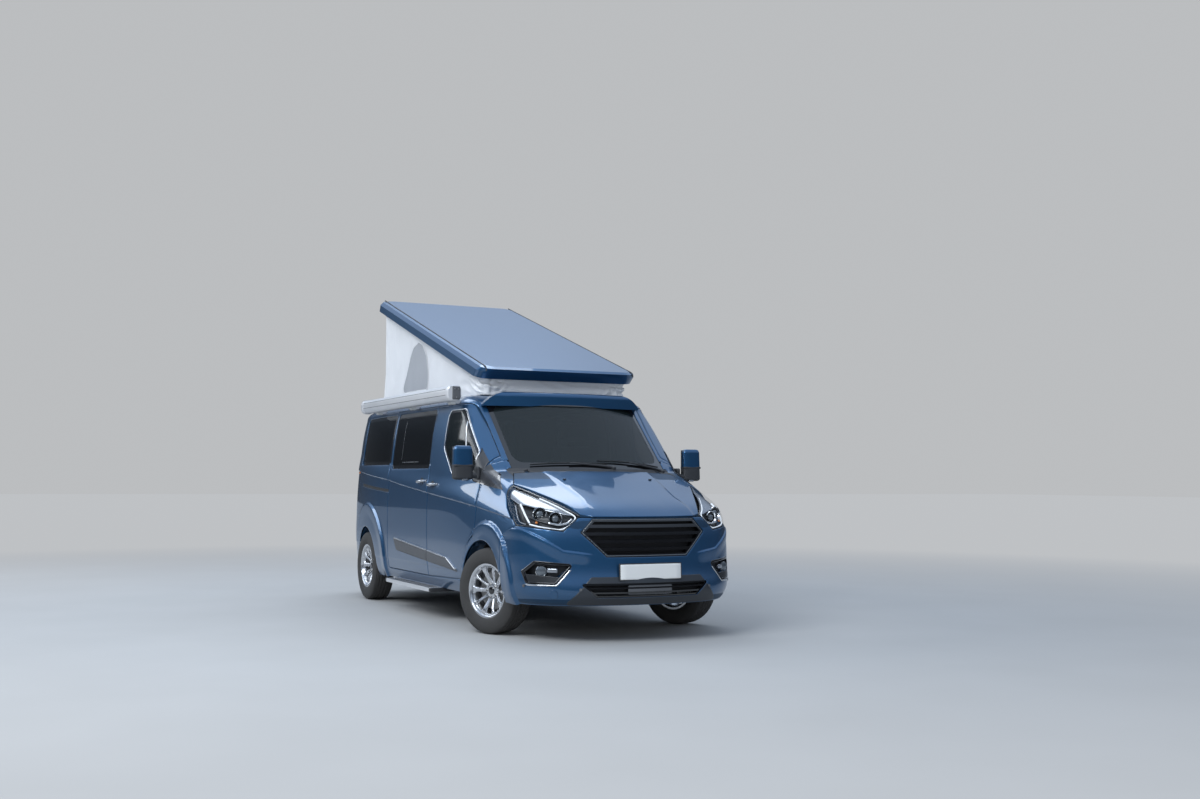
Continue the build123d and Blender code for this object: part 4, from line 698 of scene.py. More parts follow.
SIDE_S = np.concatenate([np.linspace(0.7, 2.0, 38), np.linspace(2.0, 3.0, 56)[1:], np.linspace(3, 4, 84)[1:],
                         np.linspace(4, 5, 70)[1:], np.linspace(5, 6, 18)[1:]])
SIDE_Z = np.linspace(0.285, 1.9649, 88)
for hand in ("right", "left"):
    right = hand == "right"
    common = dict(shape=side_shape, creases=SIDE_CREASES, right=right)
    skin(f"{hand}_door_skin", left_surface, SIDE_S, SIDE_Z,
         less(both(door_edge, lambda p: p[:, 1] - 0.7535), window_cut), "paint", f"{hand}_door", **common)
    holes = [door_cut, wing_cut, rear_cut, bumper_cut, tail_lamp_cut,
             lambda p: -arch(FRONT_AXLE)(p), lambda p: -arch(REAR_AXLE)(p)]
    holes += [slide_cut] if right else [middle_cut]
    wall = lambda p: np.minimum.reduce([p[:, 1] - 0.7525, 1.48 - p[:, 0] + 0.02 * (p[:, 2] > 1.384),
                                        1.944 - p[:, 2]])
    skin(f"{hand}_side_skin", left_surface, SIDE_S, SIDE_Z, less(wall, *holes), "paint", "body", **common)
    pillar = lambda p: np.minimum.reduce([p[:, 1] - 0.7065, p[:, 0] - 0.85, p[:, 2] - 1.290, 1.902 - p[:, 2]])
    skin(f"{hand}_pillar_skin", left_surface, SIDE_S, SIDE_Z, less(pillar, lambda p: wall(p) - 0.0005,
            wing_cut, bonnet_cut, both(door_cut, lambda p: p[:, 1] - 0.7475)), "paint", "body", **common)
    wing_in = lambda p: p[:, 1] - np.where(p[:, 2] > 1.3225, 0.7065, np.where(p[:, 2] > 1.24, 0.7475, 0.60))
    skin(f"{hand}_wing_skin", left_surface, SIDE_S, SIDE_Z, less(both(wing_edge, wing_in), lamp_cut,
            bonnet_cut, lambda p: -arch(FRONT_AXLE)(p), door_cut), "paint", "body", **common)
skin("slide_door_skin", left_surface, SIDE_S, SIDE_Z, less(slide_edge, middle_cut), "paint", "body",
     shape=side_shape, creases=SIDE_CREASES, right=True)

# Bonnet: two creases run from the screen's corners to the grille, the middle standing higher
FOLD = np.array([(1.60, 0.475), (2.26, 0.400), (2.60, 0.445)])


def fold_line(p):
    """Distance outside the bonnet's creases."""
    return np.abs(p[:, 1]) - np.interp(p[:, 0], FOLD[:, 0], FOLD[:, 1])


def bonnet_shape(p):
    """How far the bonnet stands out: its middle is higher, and falls off over 40 mm outside the creases."""
    out = fold_line(p)
    return 0.0075 * np.where(out < 0, 0.35 + 0.65 * smooth(1 + out / 0.22), 1 - smooth(out / 0.04))


BONNET_S = np.linspace(-1.97, 1.97, 150)
BONNET_Z = np.concatenate([np.linspace(0.945, 1.02, 26), np.linspace(1.02, 1.42, 80)[1:]])
skin("bonnet_skin", full_surface, BONNET_S, BONNET_Z, both(bonnet_edge, above(0.9485)), "paint", "bonnet",
     shape=bonnet_shape, creases=[fold_line, lambda p: fold_line(p) - 0.02])

# Front bumper with a ridge under the lamps and a darker lower insert
RIDGE = np.array([(0.0, 0.640), (0.30, 0.640), (0.66, 0.690), (0.90, 0.850), (1.2, 0.90)])


def ridge_line(p):
    """Height above the bumper's ridge."""
    return p[:, 2] - np.interp(np.abs(p[:, 1]), RIDGE[:, 0], RIDGE[:, 1])


def bumper_shape(p):
    """How far the bumper stands out: under its ridge, on a narrow step over it, and on the wheel flares."""
    up = ridge_line(p)
    rise = 0.010 * smooth(1 + up / 0.10) * (up < 0) + 0.010 * (1 - smooth(up / 0.014)) * (up >= 0)
    rise *= smooth((np.abs(p[:, 1]) - 0.42) / 0.12)
    inside = -flare_line(FRONT_AXLE)(p)
    return np.maximum(rise, 0.020 * smooth(inside / 0.030) * (1 - 0.40 * smooth((inside - 0.035) / 0.12)))


def both_hands(f):
    """A region drawn on the left, for both sides."""
    return lambda p: f(p * (1, 0, 1) + np.abs(p) * (0, 1, 0))


bumper = less(side(outline(NOSE_SIDE)), both_hands(lamp_cut), front(outline(GRILLE, 0.012, grow=0.003)),
              front(outline(INTAKE, 0.012)),
              both_hands(both(front(outline(FOG)), front(outline(FOG_LOOK, 0.018)))),
              lambda p: -arch(FRONT_AXLE)(p))
BUMPER_S = np.concatenate([np.linspace(-3, -2, 40), np.linspace(-2, -1, 46)[1:], np.linspace(-1, 1, 110)[1:],
                           np.linspace(1, 2, 46)[1:], np.linspace(2, 3, 40)[1:]])
skin("bumper_skin", full_surface, BUMPER_S, np.linspace(0.285, 0.95, 74), bumper, "paint", "body",
     shape=bumper_shape, creases=[ridge_line, lambda p: ridge_line(p) - 0.014, flare_line(FRONT_AXLE),
                                  lambda p: flare_line(FRONT_AXLE)(p) + 0.030])
INSERT = [(-0.66, 0.290), (0.66, 0.290), (0.470, 0.500), (-0.470, 0.500)]
skin("bumper_insert", full_surface, BUMPER_S, np.linspace(0.285, 0.56, 50), less(front(outline(INSERT, 0.02)),
     front(outline(INTAKE, 0.012, grow=-0.002))), "insert", "body", lift=0.0075)
skin("intake_back", full_surface, np.linspace(-1.6, 1.6, 80), np.linspace(0.33, 0.47, 10),
     front(outline(INTAKE, grow=0.004)), "seal", "body", lift=-0.056, roll=0)
skin("intake_block", full_surface, np.linspace(-0.8, 0.8, 60), np.linspace(0.33, 0.47, 14),
     front(box_outline(-0.19, 0.19, 0.360, 0.440, 0.01)), "grey", "body", lift=-0.012)
skin("grille_back", full_surface, np.linspace(-1.6, 1.6, 80), np.linspace(0.64, 0.95, 16),
     front(outline(GRILLE, grow=0.004)), "seal", "body", lift=-0.056, roll=0)
grille_in = front(outline(GRILLE, 0.012, grow=-0.004))
skin("grille_outline", full_surface, np.linspace(-1.7, 1.7, 150), np.linspace(0.64, 0.943, 50),
     less(grille_in, front(outline(GRILLE, 0.012, grow=-0.013))), "rim_grey", "body", lift=0.001, roll=0.003,
     creases=[grille_in, front(outline(GRILLE, 0.012, grow=-0.013))])

SAIL = side(outline([(1.250, 1.568), (1.361, 1.470), (1.466, 1.374), (1.640, 1.260), (1.840, 1.146),
                     (1.595, 1.172), (1.304, 1.212), (1.275, 1.235), (1.312, 1.452)]))
SAIL_S, SAIL_Z = np.linspace(1.3, 2.9, 90), np.linspace(1.13, 1.60, 36)
seam = side(outline([(1.300, 1.428), (1.40, 1.452), (1.40, 1.445), (1.300, 1.421)]))


# Glass edges: black bands printed round the panes, and the bright frames
def band(name, edge, width, mat, body, right, lift=-0.0028, roll=0.0):
    """A strip of this width along the inside of an edge on the body's side."""
    return skin(name, left_surface, SIDE_S, SIDE_Z, less(edge, lambda p: edge(p) - width), mat, body,
                lift=lift, roll=roll, right=right, slot="dark_trim",
                creases=[edge, lambda p: edge(p) - width, lambda p: edge(p) - width / 2])


for hand in ("right", "left"):
    right = hand == "right"
    band(f"{hand}_door_pane_edge", window_cut, 0.022, "gloss", f"{hand}_door", right)
    band(f"{hand}_middle_pane_edge", middle_cut, 0.034, "gloss", "body", right)
    band(f"{hand}_rear_pane_edge", rear_cut, 0.034, "gloss", "body", right)
    frame_edge = side(outline(FRONT_WINDOW, 0.06, grow=0.011))
    band(f"{hand}_door_pane_frame", frame_edge, 0.010, "chrome", f"{hand}_door", right, lift=0.0035,
         roll=0.003)
    skin(f"{hand}_pillar_black", left_surface, SIDE_S, SIDE_Z,
         side(box_outline(-0.943, -0.9215, 1.33, 1.85)), "gloss", "body", lift=0.003, right=right, roll=0.002)
    skin(f"{hand}_pane_vent", left_surface, SIDE_S, SIDE_Z,
         less(side(box_outline(-0.60, -0.06, 1.385, 1.80, 0.03)),
              side(box_outline(-0.595, -0.065, 1.39, 1.795, 0.026))), "satin", "body", lift=-0.0025,
         right=right, roll=0, slot="dark_trim")
    on_door = both(SAIL, door_edge, lambda p: -window_cut(p) - 0.012)
    on_wing = both(SAIL, less(wing_edge, door_cut))
    for part, region, body in (("door", on_door, f"{hand}_door"), ("wing", on_wing, "body")):
        black = both(region, lambda p: 0.0095 - SAIL(p), lambda p: p[:, 2] - 1.185)
        skin(f"{hand}_sail_{part}", left_surface, SAIL_S, SAIL_Z, region, "sail", body, lift=0.0060,
             right=right, roll=0.003, shape=side_shape, creases=[SAIL, lambda p: SAIL(p) - 0.0095])
        skin(f"{hand}_sail_edge_{part}", left_surface, SAIL_S, SAIL_Z, black, "gloss", body, lift=0.0076,
             right=right, roll=0, shape=side_shape, creases=[SAIL, lambda p: SAIL(p) - 0.0095])
    skin(f"{hand}_sail_seam", left_surface, SAIL_S, SAIL_Z, both(SAIL, seam, door_edge), "seal",
         f"{hand}_door", lift=0.0068, right=right, roll=0, shape=side_shape, creases=[seam])
    bar = side(outline([(0.974, 1.800), (0.989, 1.800), (1.073, 1.500), (1.058, 1.500)]))
    skin(f"{hand}_pane_divider", left_surface, SAIL_S, np.linspace(1.38, 1.83, 60),
         both(bar, lambda p: window_cut(p) - 0.006), "satin", f"{hand}_door", lift=-0.0020, right=right,
         roll=0.002, slot="dark_trim", creases=[bar, lambda p: bar(p) - 0.004])

# Windscreen: the black printed border
screen_edge = front(box_outline(-0.7040, 0.7040, 1.3225, 1.8845))
screen_clear = front(box_outline(-0.667, 0.667, 1.372, 1.868, 0.075))
skin("screen_border", full_surface, np.linspace(-1.9, 1.9, 200), np.linspace(1.32, 1.886, 60),
     less(screen_edge, screen_clear), "gloss", "body", lift=-0.0030, roll=0, creases=[screen_clear])


def patch(name, p, mat, body, closed=False, slot="", angle=35):
    """A mesh from a rows-by-columns grid of points; closed joins the last row to the first."""
    p = np.asarray(p, float)
    n, m = p.shape[:2]
    i = np.arange(n * m).reshape(n, m)
    a, b = (i, np.roll(i, -1, 0)) if closed else (i[:-1], i[1:])
    faces = np.stack([a[:, :-1].ravel(), b[:, :-1].ravel(), b[:, 1:].ravel(), a[:, 1:].ravel()], 1)
    return mesh_object(name, p.reshape(-1, 3), faces, mat, body, slot=slot, smooth_angle=angle)


def outward(obj):
    """Turns a closed mesh's faces outwards."""
    work = bmesh.new()
    work.from_mesh(obj.data)
    bmesh.ops.remove_doubles(work, verts=work.verts, dist=1e-6)
    bmesh.ops.recalc_face_normals(work, faces=work.faces)
    work.to_mesh(obj.data)
    work.free()
    return obj


def frame_of(axis, hint=(0, 0, 1)):
    """An axis as a unit vector, and two more square to it."""
    a = np.asarray(axis, float)
    a = a / np.linalg.norm(a)
    u = np.cross(hint, a)
    if np.linalg.norm(u) < 1e-6:
        u = np.cross((0, 1, 0), a)
    u /= np.linalg.norm(u)
    return a, u, np.cross(a, u)


def turned(name, profile, centre, axis, mat, body, steps=64, slot="", angle=35):
    """A solid of revolution: profile points are (along the axis, radius)."""
    a, u, v = frame_of(axis)
    t = np.linspace(0, 2 * pi, steps, endpoint=False)
    q = np.asarray(profile, float)
    ring = np.cos(t)[:, None, None] * u + np.sin(t)[:, None, None] * v
    p = np.asarray(centre) + q[None, :, :1] * a + q[None, :, 1:] * ring
    return outward(patch(name, p, mat, body, closed=True, slot=slot, angle=angle))


def tube(name, path, radius, mat, body, steps=12, slot=""):
    """A round bar along a path with rounded ends; radius is one size or one per path point."""
    path = np.asarray(path, float)
    along = np.gradient(path, axis=0)
    along /= np.linalg.norm(along, axis=1)[:, None]
    u = np.cross(along, (0.02, 0.03, 1.0))
    u /= np.linalg.norm(u, axis=1)[:, None]
    v = np.cross(along, u)
    r = np.broadcast_to(np.asarray(radius, float), len(path)).copy()
    rows = [path[:1] - along[:1] * r[:1, None] * 0.5, path, path[-1:] + along[-1:] * r[-1:, None] * 0.5]
    pts, us, vs = np.concatenate(rows), np.concatenate([u[:1], u, u[-1:]]), np.concatenate([v[:1], v, v[-1:]])
    rr = np.concatenate([[1e-5], r, [1e-5]])
    t = np.linspace(0, 2 * pi, steps, endpoint=False)
    p = pts[None] + rr[None, :, None] * (np.cos(t)[:, None, None] * us[None] + np.sin(t)[:, None, None]
                                         * vs[None])
    return outward(patch(name, p, mat, body, closed=True, slot=slot, angle=50))


def cube_grid(steps):
    """Points of a cube's six faces from -1 to 1, steps to each half edge, and their quads."""
    lin = np.linspace(-1, 1, 2 * steps + 1)
    grids, faces, base = [], [], 0
    for axis in range(3):
        for sign in (-1, 1):
            A, B = np.meshgrid(lin, lin, indexing="ij")
            p = np.zeros(A.shape + (3,))
            p[..., axis], p[..., (axis + 1) % 3], p[..., (axis + 2) % 3] = sign, A, B
            grids.append(p.reshape(-1, 3))
            i = base + np.arange(A.size).reshape(A.shape)
            quad = np.stack([i[:-1, :-1].ravel(), i[1:, :-1].ravel(), i[1:, 1:].ravel(),
                             i[:-1, 1:].ravel()], 1)
            faces.append(quad if sign > 0 else quad[:, ::-1])
            base += A.size
    return np.concatenate(grids), np.concatenate(faces)


def rounded_box(q, half, r):
    """Cube points carried to a box of these half sizes, with edges rounded to r."""
    inner = np.clip(q * half, -(half - r), half - r)
    out = q * half - inner
    length = np.linalg.norm(out, axis=1)[:, None]
    return inner + np.where(length > 1e-9, out / np.maximum(length, 1e-9) * r, 0)


def block(name, centre, size, mat, body, radius=0.006, turn=None, slot="", steps=5):
    """A box with rounded edges; turn is a rotation matrix."""
    q, faces = cube_grid(steps)
    half = np.asarray(size, float) / 2
    r = min(radius, *(half * 0.98))
    q = np.sign(q) * np.abs(q)**0.55 if r < min(half) * 0.5 else q
    p = rounded_box(q, half, r)
    if turn is not None:
        p = p @ np.asarray(turn).T
    return outward(mesh_object(name, p + np.asarray(centre), faces, mat, body, slot=slot, smooth_angle=40))


def on_side(x, z, lift=0.0, right=True):
    """A point on the finished side, over the hull by lift and the skin's own rise, with its normal."""
    x, z = np.broadcast_arrays(np.asarray(x, float), np.asarray(z, float))
    y = side_y(x, z)
    e = 1e-3
    gx, gz = (side_y(x + e, z) - side_y(x - e, z)) / (2 * e), (side_y(x, z + e) - side_y(x, z - e)) / (2 * e)
    n = np.stack([-gx, np.ones_like(gx), -gz], -1)
    n /= np.linalg.norm(n, axis=-1)[..., None]
    p = np.stack([x, y, z], -1)
    rise = 0.002 + side_shape(p.reshape(-1, 3)).reshape(x.shape) + lift
    p = p + n * rise[..., None]
    flip = np.array((1, -1, 1)) if right else 1
    return p * flip, n * flip


# Wheels: a tyre with grooves round and across its tread and lugs on its shoulders, and a ten-spoke rim
TYRE_PROFILE = np.array([
    (-0.085, 0.2005), (-0.088, 0.214), (-0.0955, 0.222), (-0.1035, 0.240), (-0.1075, 0.268), (-0.1068, 0.286),
    (-0.1040, 0.305), (-0.0985, 0.322), (-0.0930, 0.331), (-0.086, 0.3368), (-0.070, 0.3402)])
TREAD_RADIUS, TYRE_MAX_RADIUS, TREAD_BLOCKS, TYRE_STEPS = 0.3402, 0.3428, 72, 200


def tyre_profile():
    """Points across the tyre: a sidewall, the crowned tread with four grooves round it, a sidewall."""
    side_part = []
    for k in range(len(TYRE_PROFILE) - 1):
        for f in (0, 0.5):
            side_part.append(TYRE_PROFILE[k] * (1 - f) + TYRE_PROFILE[k + 1] * f)
    tread = []
    for x in np.linspace(-0.070, 0.070, 43):
        groove = min(abs(abs(x) - 0.017), abs(abs(x) - 0.048))
        depth = 0.0065 * (groove < 0.0042)
        tread.append((x, TREAD_RADIUS + 0.0028 * (1 - (x / 0.070)**2) - depth))
    left = [(-x, r) for x, r in side_part[::-1]]
    return np.array(side_part + tread + left)


REAR_WHEEL_Y, KINGPIN_Y, KINGPIN_OFFSET, STEER = 0.866, 0.79, 0.076, radians(20)


def wheel_axes(corner):
    """Centre and outward axle direction of a wheel; the front ones are steered by STEER."""
    front_wheel, right_wheel = corner.startswith("front"), corner.endswith("right")
    s = -1 if right_wheel else 1
    if not front_wheel:
        return np.array([REAR_AXLE, s * REAR_WHEEL_Y, AXLE_Z]), np.array([0.0, s, 0.0])
    centre = (FRONT_AXLE - s * KINGPIN_OFFSET * sin(STEER), s * (KINGPIN_Y + KINGPIN_OFFSET * cos(STEER)),
              AXLE_Z)
    return np.array(centre), s * np.array([-sin(STEER), cos(STEER), 0.0])


SPOKES, NUTS = 10, 5


def wheel(corner):
    """One wheel: tyre, rim barrel, the spoked face, hub cap, nuts and brake disc."""
    body = f"{corner}_wheel"
    centre, axle = wheel_axes(corner)
    a, u, v = frame_of(axle)
    t = np.linspace(0, 2 * pi, TYRE_STEPS, endpoint=False)
    q = tyre_profile()
    across = np.broadcast_to(q[:, 0], (TYRE_STEPS, len(q)))
    radius = np.broadcast_to(q[:, 1], (TYRE_STEPS, len(q))).copy()
    slant = t[:, None] + np.abs(across) * 2.2 + np.where(np.abs(across) < 0.02, 0.03, 0)
    cross_groove = np.cos(slant * TREAD_BLOCKS) > 0.55
    on_tread = (np.abs(across) < 0.0925) & (np.abs(np.abs(across) - 0.0325) > 0.004)
    radius -= np.where(cross_groove & on_tread & (radius > 0.335), 0.0045, 0)
    radius = np.minimum(radius, TYRE_MAX_RADIUS)
    lug = (np.abs(across) > 0.0935) & (np.abs(across) < 0.1065) & (radius > 0.300)
    radius -= np.where(lug & cross_groove, 0.0025, 0)
    ring = np.cos(t)[:, None, None] * u + np.sin(t)[:, None, None] * v
    p = centre + across[..., None] * a + radius[..., None] * ring
    tyre = patch(f"{corner}_tyre_skin", p, "tyre", body, closed=True, angle=28)
    tyre.data.flip_normals()
    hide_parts(f"{corner}_tyre")

    barrel = [(0.0905, 0.2005), (0.0925, 0.207), (0.0925, 0.2165), (0.0895, 0.2185), (0.0865, 0.2165),
              (0.0855, 0.2035), (0.084, 0.1985), (0.078, 0.1940), (0.05, 0.1875), (-0.03, 0.184),
              (-0.075, 0.184), (-0.0855, 0.2005), (-0.088, 0.2165), (-0.0925, 0.2165), (-0.0925, 0.200),
              (-0.083, 0.190), (0.03, 0.1905), (0.076, 0.1985)]
    rim = turned(f"{corner}_rim_barrel", barrel + barrel[:1], centre, axle, "alloy", body, 96)
    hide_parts(f"{corner}_rim")

    def spoke_gap(p2):
        """Distance into the windows between the spokes."""
        r, th = np.hypot(p2[:, 0], p2[:, 1]), np.arctan2(p2[:, 1], p2[:, 0])
        turn = 2 * pi / SPOKES
        th = th + 0.055 * np.sin(th * 5)
        away = np.abs((th + turn / 2) % turn - turn / 2)
        half_spoke = 0.0150 + 0.007 * smooth((0.075 - r) / 0.04) + 0.009 * smooth((r - 0.140) / 0.05)
        return np.minimum.reduce([r * np.sin(away) - half_spoke, r - 0.074, 0.181 - r])

    rr, tt = np.linspace(0.030, 0.1905, 50), np.linspace(0, 2 * pi, 421)
    uv, tris = grid(rr, tt)
    flat = lambda w: np.stack([w[:, 0] * np.cos(w[:, 1]), w[:, 0] * np.sin(w[:, 1])], 1)
    for level in (-0.0075, -0.003):
        uv, tris = split(uv, tris, lambda w: -spoke_gap(flat(w)) + level)
    uv, tris = split(uv, tris, lambda w: -spoke_gap(flat(w)), keep=True)
    gap = -spoke_gap(flat(uv))
    r = uv[:, 0]
    dish = 0.034 + 0.040 * smooth((r - 0.045) / 0.13) + 0.004 * smooth((0.06 - r) / 0.02)
    height = dish - 0.016 * (1 - np.clip(gap / 0.0075, 0, 1))**2
    face = centre + height[:, None] * a + flat(uv)[:, :1] * u + flat(uv)[:, 1:] * v
    n = np.cross(face[tris[:, 1]] - face[tris[:, 0]], face[tris[:, 2]] - face[tris[:, 0]])
    flip = n @ a < 0
    tris[flip] = tris[flip][:, ::-1]
    mesh_object(f"{corner}_rim_face", face, tris, "alloy", body, smooth_angle=45)
    turned(f"{corner}_hub_cap", [(0.030, 1e-4), (0.030, 0.030), (0.042, 0.0305), (0.0455, 0.027),
                                 (0.047, 0.018), (0.0475, 1e-4)], centre, axle, "gloss", body, 40)
    for k in range(NUTS):
        w = 2 * pi * (k + 0.5) / NUTS
        at = centre + 0.030 * a + 0.054 * (cos(w) * u + sin(w) * v)
        turned(f"{corner}_nut_{k + 1}", [(0.0, 1e-4), (0.0, 0.0105), (0.012, 0.0105), (0.015, 0.007),
                                         (0.0155, 1e-4)], at, axle, "steel", body, 6, angle=20)
    turned(f"{corner}_brake_disc", [(-0.006, 0.045), (-0.006, 0.150), (0.006, 0.151), (0.016, 0.150),
                                    (0.016, 0.045), (0.022, 0.04), (0.022, 1e-4)], centre, axle, "steel",
           body, 64)


for corner in ("front_right", "front_left", "rear_right", "rear_left"):
    wheel(corner)


# The raised roof: its plane leans 17.2 degrees, and w is the height over that plane
TILT = radians(17.2)
ROOF_ORIGIN = np.array([0.9, 0.0, 2.1])
ROOF_ALONG = np.array([cos(TILT), 0.0, -sin(TILT)])
ROOF_UP = np.array([sin(TILT), 0.0, cos(TILT)])


def roof_point(along, y, w):
    """Points over the raised roof's plane."""
    along, y, w = np.broadcast_arrays(np.asarray(along, float), y, w)
    flat = ROOF_ORIGIN + along[..., None] * ROOF_ALONG + y[..., None] * np.array([0, 1.0, 0])
    return flat + w[..., None] * ROOF_UP


for sgn, word in ((-1, "right"), (1, "left")):
    a = np.concatenate([np.linspace(-3.10, 0.02, 60), [0.038, 0.05, 0.058]])
    w = np.concatenate([np.full(60, 0.1165), [0.113, 0.100, 0.085]])
    tube(f"roof_strip_{word}", roof_point(a, sgn * np.full(63, 0.708), w), 0.0052, "dark", "pop_up_roof", 10)
tube("roof_rear_seal", roof_point(np.full(40, -3.163), np.linspace(-0.66, 0.66, 40), 0.012), 0.006,
     "seal", "pop_up_roof", 8)

# The cloth: one band round the bed, hung between the roof and the hatch frame
CLOTH_FRONT, CLOTH_BACK_LOW, CLOTH_BACK_HIGH, CLOTH_HALF_Y, CLOTH_LOW = 0.826, -2.138, -2.024, 0.699, 1.968


def cloth_top(x):
    """Height of the roof's lining over the cloth, less a little."""
    return 2.1 + 0.082 / cos(TILT) - (x - 0.9) * tan(TILT)


def ring_at(u, back, corner=0.07):
    """Plan point and outward direction of a rounded rectangle; u runs from 0 to 4 along its right side, its
    front, its left side and its back."""
    x0, x1, h, r = back, CLOTH_FRONT, CLOTH_HALF_Y, corner
    k, f = np.floor(u).astype(int) % 4, u - np.floor(u)
    length = np.array([x1 - x0 - 2 * r, 2 * h - 2 * r, x1 - x0 - 2 * r, 2 * h - 2 * r])
    arc = r * pi / 2
    total = length + arc
    d = f * total[k]
    straight = d < length[k]
    go = np.array([[1, 0], [0, 1], [-1, 0], [0, -1]], float)[k]
    out = np.array([[0, -1], [1, 0], [0, 1], [-1, 0]], float)[k]
    start = np.array([[0, -h], [x1, -h + r], [0, h], [0, h - r]], float)[k].astype(float)
    start[:, 0] = np.where(k == 0, x0 + r, np.where(k == 1, x1, np.where(k == 2, x1 - r, x0)))
    p = start + go * np.minimum(d, length[k])[:, None]
    angle = np.where(straight, 0, (d - length[k]) / r)
    centre = p - out * r
    direction = out * np.cos(angle)[:, None] + go * np.sin(angle)[:, None]
    return np.where(straight[:, None], p, centre + direction * r), direction


def bump(d, width):
    """A bell curve of a distance."""
    return np.exp(-(d / width)**2)


def cloth(u, v):
    """Points of the cloth: u round the band, v from its foot, 0, to the roof, 1. It hangs a little slack,
    with pleats that start at the rear corners and a heap of folds at the two front corners. The lift off the
    plan outline is a sum of sines of the place along the band and of the height, faded out at the foot and at
    the roof."""
    low, out = ring_at(u, CLOTH_BACK_LOW)
    high, _ = ring_at(u, CLOTH_BACK_HIGH)
    plan_at = low * (1 - v)[:, None] + high * v[:, None]
    x = plan_at[:, 0]
    tall = cloth_top(np.clip(x, CLOTH_BACK_LOW, CLOTH_FRONT)) - CLOTH_LOW
    z = CLOTH_LOW + tall * v
    near_front, near_back = (
        bump(np.minimum.reduce([np.hypot(x - end, plan_at[:, 1] + s * CLOTH_HALF_Y) for s in (-1, 1)]), width)
        for end, width in ((CLOTH_FRONT, 0.22), (CLOTH_BACK_LOW, 0.42)))
    along = np.where(np.abs(out[:, 0]) > 0.7, plan_at[:, 1], x)
    held = np.clip(v * tall / 0.05, 0, 1) * np.clip((1 - v) * tall / 0.10, 0, 1)
    held = held * held * (3 - 2 * held)
    slack = -0.014 * np.sin(pi * np.clip(v, 0, 1)) * smooth(tall / 0.6)
    wave = (0.0050 * np.sin(9.0 * along + 1.9 * z + 0.7)
            + 0.0034 * np.sin(21.0 * along - 3.5 * z + 2.0) * smooth(tall))
    pleat = np.abs(np.sin(38.0 * along + 5.0 * (1 - v) + 1.2 * np.sin(5 * z)))**1.6 - 0.4
    pleat2 = np.abs(np.sin(61.0 * along - 7.0 * v))**2 - 0.4
    y = plan_at[:, 1]
    crumple = (np.sin(34 * x + 52 * z + 3 * np.sin(20 * y)) * np.sin(41 * y - 37 * z + 2)
               + 0.6 * np.abs(np.sin(70 * z + 28 * x + 17 * y)) - 0.2)
    front_lines = 0.0045 * np.sin(60 * z + 16 * along + 2 * np.sin(9 * along)) * smooth((0.5 - tall) / 0.2)
    d = (slack + wave + 0.0150 * near_back * pleat * (0.35 + 0.65 * v) + 0.0035 * near_back * pleat2
         + near_front * (0.014 + 0.022 * crumple) + front_lines) * held
    p = np.stack([plan_at[:, 0] + out[:, 0] * d, plan_at[:, 1] + out[:, 1] * d,
                  z + 0.006 * crumple * near_front * held], 1)
    return p, np.stack([out[:, 0], out[:, 1], np.zeros(len(u))], 1)


u = np.linspace(0, 4, 761)
v = np.linspace(0, 1, 64)
U, V = np.meshgrid(u, v, indexing="ij")
P = cloth(U.ravel() % 4, V.ravel())[0]
tent = patch("tent_cloth", P.reshape(761, 64, 3)[:-1], "canvas", "body", closed=True, angle=80)
area = 0.0
for k in range(len(u) - 1):
    a0, _ = ring_at(np.array([u[k] % 4, (u[k + 1] - 1e-9) % 4]), CLOTH_BACK_LOW)
    h = cloth_top(np.clip(a0[:, 0], CLOTH_BACK_LOW, CLOTH_FRONT)).mean() - CLOTH_LOW
    area += float(np.linalg.norm(a0[1] - a0[0])) * h
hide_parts("roof_canvas")


def cloth_patch(name, sgn, region, mat, lift):
    """A piece sewn on the cloth's side, cut where region(x, z) passes zero."""
    base = 0.0 if sgn < 0 else 2.0
    round_band = (base + 0.002, base + 0.60) if sgn < 0 else (base + 0.38, base + 0.975)
    uv, tris = grid(np.linspace(*round_band, 260), np.linspace(0.05, 0.92, 90))
    uv, tris = split(uv, tris, lambda w: region(cloth(w[:, 0] % 4, w[:, 1])[0]), keep=True)
    p, n = cloth(uv[:, 0] % 4, uv[:, 1])
    return mesh_object(name, p + n * lift, tris, mat, "body", smooth_angle=80)


WINDOW_ARCH = [(-1.43, 2.10), (-0.64, 2.10), (-0.655, 2.28), (-0.70, 2.43), (-0.80, 2.545),
               (-0.93, 2.585), (-1.06, 2.54), (-1.18, 2.44), (-1.28, 2.33), (-1.37, 2.21)]
arch_in, arch_out = (side(outline(WINDOW_ARCH, 0.05, grow=g)) for g in (-0.004, 0.010))
EXTRAS = []
for sgn, word in ((-1, "right"), (1, "left")):
    EXTRAS.append(cloth_patch(f"tent_window_{word}", sgn, arch_in, "window", 0.0035))
    EXTRAS.append(cloth_patch(f"tent_window_hem_{word}", sgn, less(arch_out, arch_in), "canvas", 0.0060))
for piece in [tent] + EXTRAS:
    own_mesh(piece)


# Awning case: end caps, the front rail's lip and grooves, a white bracket at each mount, and screws
AWN_Y, AWN_Z = -0.994, 1.960


def rounded_ring(width, height, radius, steps=96):
    """A rounded rectangle about the origin as points in order."""
    t = np.linspace(0, 2 * pi, steps, endpoint=False)
    c, s = np.cos(t), np.sin(t)
    w, h = width / 2 - radius, height / 2 - radius
    return np.stack([np.clip(c * 10, -1, 1) * w + c * radius, np.clip(s * 10, -1, 1) * h + s * radius], 1)


